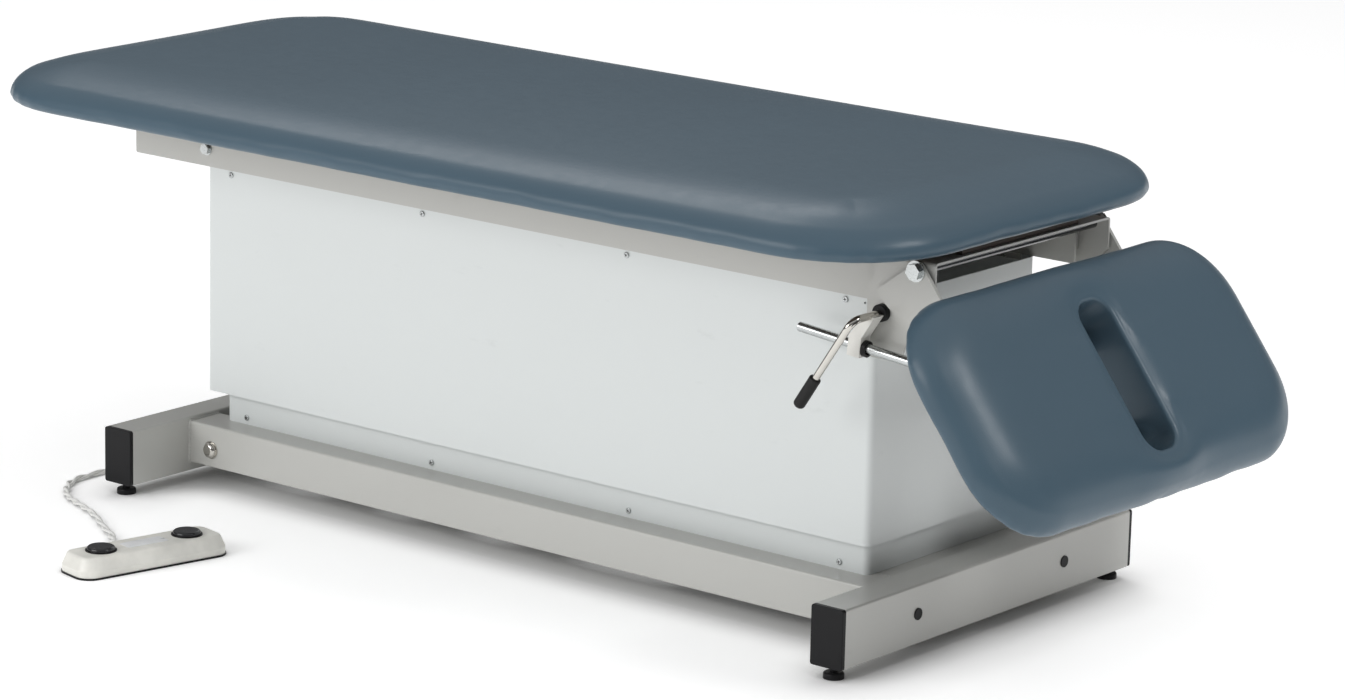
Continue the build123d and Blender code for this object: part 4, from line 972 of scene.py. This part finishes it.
class ExamTableFittingOperator(bpy.types.Operator):
    """Makes near-black crosses on the screw heads as painted shade for their cross recesses, and
    the weld beads, staples and the foot switch's label plate
    """

    bl_idname = "exam_table.fittings"
    bl_label = "Make the small fittings"

    def execute(self, context):
        settings = context.scene.exam_table_fittings
        # Each screw's cross recess is drawn as a thin near-black cross on its head: painted shade
        # standing for the shadow inside the recess.
        dark = moulded("recess_shadow", (0.02, 0.02, 0.02), 0.6)
        plate = cross_plate(settings.recess, settings.recess * 0.24, 0.00018)
        for name, node, body in (("lower", "lower_cover_screws", "base"),
                                 ("upper", "upper_cover_screws", "table_top")):
            shells = []
            for side in (-1, 1):
                outwards = np.array((0.0, side, 0.0))
                for k, spot in enumerate(screw_rows(node, side)):
                    a = 0.7 * k + 0.3 * side
                    x_axis = np.array((math.cos(a) * -side, 0.0, math.sin(a)))
                    y_axis = np.cross(outwards, x_axis)
                    points = place(plate[0], spot - outwards * 0.0001, x_axis, y_axis, outwards)
                    shells.append((points, plate[1]))
            recesses = make_piece(f"{name}_screw_recess_shade", *join_shells(*shells), dark, False)
            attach(recesses, body)
        weld = powder_coat("painted_weld", context.scene.exam_table_finishes.frame_colour, 0.3)
        beads = []
        for node in ("front_base_rail", "back_base_rail"):
            low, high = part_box(node)
            for x in (low[0], high[0]):
                loop = rail_loop(x, low[1], high[1], low[2], high[2], 0.003)
                beads.append(weld_bead(loop, settings.bead))
        bead = make_piece("rail_weld_beads", *join_shells(*beads), weld)
        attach(bead, "base")
        wire = bare_metal("staple_wire", (0.55, 0.55, 0.54), 0.3, (1.0, 1.0, 1.0))
        low, high = np.array(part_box("main_pad"))
        angle = np.linspace(0, 2 * np.pi, 2000, endpoint=False)
        size, middle = high - low, (low + high) / 2
        outline = ray_outline(angle, size[0], size[1], MAIN_CORNER) + middle[:2]
        points, faces = staples(outline, STAPLE_INSET, settings.staple_pitch, settings.staple)
        main_staples = make_piece("main_pad_staples", points + (0, 0, low[2]), faces, wire)
        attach(main_staples, "table_top")
        outline = ray_outline(angle, *DROP_SIZE[:2], DROP_CORNER) + (DROP_SIZE[0] / 2, 0)
        points, faces = staples(outline, STAPLE_INSET, settings.staple_pitch, settings.staple)
        drop_staples = make_piece("drop_pad_staples", drop_place(points), faces, wire)
        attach(drop_staples, "drop_section")
        points, faces = rounded_plate(*LABEL_SIZE)
        u_axis = (math.cos(LABEL_TURN), math.sin(LABEL_TURN), 0.0)
        v_axis = (-math.sin(LABEL_TURN), math.cos(LABEL_TURN), 0.0)
        label = make_piece("switch_label", place(points, LABEL_SPOT, u_axis, v_axis, (0, 0, 1)),
                           faces, moulded("label_film", (0.80, 0.81, 0.82), 0.3))
        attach(label, "base")
        return {"FINISHED"}


# ------------------------------------------------------------------ stage
def camera_matrix(position, yaw, pitch, roll):
    """The camera's place: forward from yaw and pitch, right level with the floor, both then
    turned by the roll about forward."""
    forward = Vector((-math.sin(yaw) * math.cos(pitch), math.cos(yaw) * math.cos(pitch),
                      -math.sin(pitch)))
    right = Vector((math.cos(yaw), math.sin(yaw), 0.0))
    up = right.cross(forward)
    r = right * math.cos(roll) + up * math.sin(roll)
    u = up * math.cos(roll) - right * math.sin(roll)
    turn = Matrix((r, u, -forward)).transposed().to_4x4()
    return Matrix.Translation(position) @ turn


def area_light(name, spot, target, size, power):
    """A rectangular soft light at a spot, turned to face a target."""
    data = bpy.data.lights.new(name, "AREA")
    data.shape = "RECTANGLE"
    data.size, data.size_y = size
    data.energy = power
    light = bpy.data.objects.new(name, data)
    bpy.context.scene.collection.objects.link(light)
    light.location = spot
    light.rotation_euler = (Vector(target) - Vector(spot)).to_track_quat("-Z", "Y").to_euler()
    return light


CAMERA_SPOT = (3.9834, -4.8655, 1.8069)
CAMERA_TURN = (40.3, 14.11, 0.91)
CAMERA_LENS = 132.6
CAMERA_SHIFT = (0.110, 0.012)
FLOOR_HALF = 30.0
CONTACT_REACH = 0.075


class ExamTableStageOperator(bpy.types.Operator):
    """Sets the pale floor, the soft studio lights and the camera"""

    bl_idname = "exam_table.stage"
    bl_label = "Set the stage"

    def execute(self, context):
        settings = context.scene.exam_table_stage
        scene = context.scene
        camera = bpy.data.cameras.new("camera")
        camera.lens = CAMERA_LENS
        camera.sensor_width = 36.0
        camera.shift_x, camera.shift_y = CAMERA_SHIFT
        camera.clip_end = 60.0
        holder = bpy.data.objects.new("camera", camera)
        scene.collection.objects.link(holder)
        holder.matrix_world = camera_matrix(Vector(CAMERA_SPOT), *map(math.radians, CAMERA_TURN))
        scene.camera = holder

        paper, nodes, links, surface, source = new_material("studio_floor")
        colour = settings.floor_colour
        cloud = noise(nodes, links, source, 0.8, 2.0)
        links.new(two_tone(nodes, links, cloud, shade(colour, 0.995), shade(colour, 1.0)),
                  surface.inputs["Base Color"])
        surface.inputs["Roughness"].default_value = 0.9
        surface.inputs["Emission Color"].default_value = (1.0, 1.0, 1.0, 1.0)
        # The floor's glow is painted light that keeps it white. Near parts close to the floor the
        # glow fades with the occlusion, which paints a contact shadow.
        contact = nodes.new("ShaderNodeAmbientOcclusion")
        contact.inputs["Distance"].default_value = CONTACT_REACH
        links.new(remap(nodes, links, contact.outputs["AO"], 0.45, 0.95, 0.0, settings.floor_glow),
                  surface.inputs["Emission Strength"])
        line = np.linspace(-FLOOR_HALF, FLOOR_HALF, 13)
        x, y = np.meshgrid(line, line, indexing="ij")
        floor = make_piece("studio_floor", np.stack((x, y, 0 * x), -1).reshape(-1, 3),
                           grid_faces(len(line), len(line)), paper)

        world = bpy.data.worlds.new("studio")
        world.use_nodes = True
        nodes, links = world.node_tree.nodes, world.node_tree.links
        direction = nodes.new("ShaderNodeTexCoord")
        parts = nodes.new("ShaderNodeSeparateXYZ")
        links.new(direction.outputs["Generated"], parts.inputs["Vector"])
        height = remap(nodes, links, parts.outputs["Z"], 0.2, 0.9, 0.0, 1.0)
        links.new(two_tone(nodes, links, height, (0.16, 0.16, 0.165), (1.0, 1.0, 1.0)),
                  nodes["Background"].inputs["Color"])
        nodes["Background"].inputs["Strength"].default_value = settings.sky
        scene.world = world
        scene.view_settings.view_transform = "Standard"
        area_light("key_light", (-1.6, -4.6, 2.1), (0, 0, 0.3), (3.6, 2.0), settings.key)
        area_light("fill_light", (3.6, 0.7, 3.5), (0.5, 0, 0.3), (1.3, 1.3), settings.fill)
        area_light("rim_light", (-3.0, 2.3, 3.9), (0, 0, 0.5), (3.0, 0.4), settings.rim)
        return {"FINISHED"}


# ------------------------------------------------------------------ panel and registration
class ExamTablePanel(bpy.types.Panel):
    """Lists the exam table's makers"""

    bl_idname = "VIEW3D_PT_exam_table"
    bl_label = "Exam table"
    bl_space_type = "VIEW_3D"
    bl_region_type = "UI"
    bl_category = "Exam table"

    def draw(self, context):
        for key in SETTINGS:
            group = getattr(context.scene, key)
            for prop in group.bl_rna.properties.keys():
                if prop not in {"rna_type", "name"}:
                    self.layout.prop(group, prop)
        for operator in MAKERS:
            self.layout.operator(operator.bl_idname)


SETTINGS = {
    "exam_table_upholstery": ExamTableUpholstery,
    "exam_table_finishes": ExamTableFinishes,
    "exam_table_cord": ExamTableCord,
    "exam_table_fittings": ExamTableFittings,
    "exam_table_stage": ExamTableStage,
}
MAKERS = (ExamTableStageOperator, ExamTableCordOperator, ExamTablePadOperator,
          ExamTableFinishOperator, ExamTableFittingOperator)


def register():
    for group in (*SETTINGS.values(), *MAKERS, ExamTablePanel):
        bpy.utils.register_class(group)
    for key, group in SETTINGS.items():
        setattr(bpy.types.Scene, key, PointerProperty(type=group))


def unregister():
    for key in SETTINGS:
        delattr(bpy.types.Scene, key)
    for group in (ExamTablePanel, *reversed(MAKERS), *SETTINGS.values()):
        bpy.utils.unregister_class(group)


def main():
    register()
    bpy.ops.exam_table.stage()
    bpy.ops.exam_table.cord()
    bpy.ops.exam_table.pads()
    bpy.ops.exam_table.finishes()
    bpy.ops.exam_table.fittings()


if __name__ == "__main__":
    main()
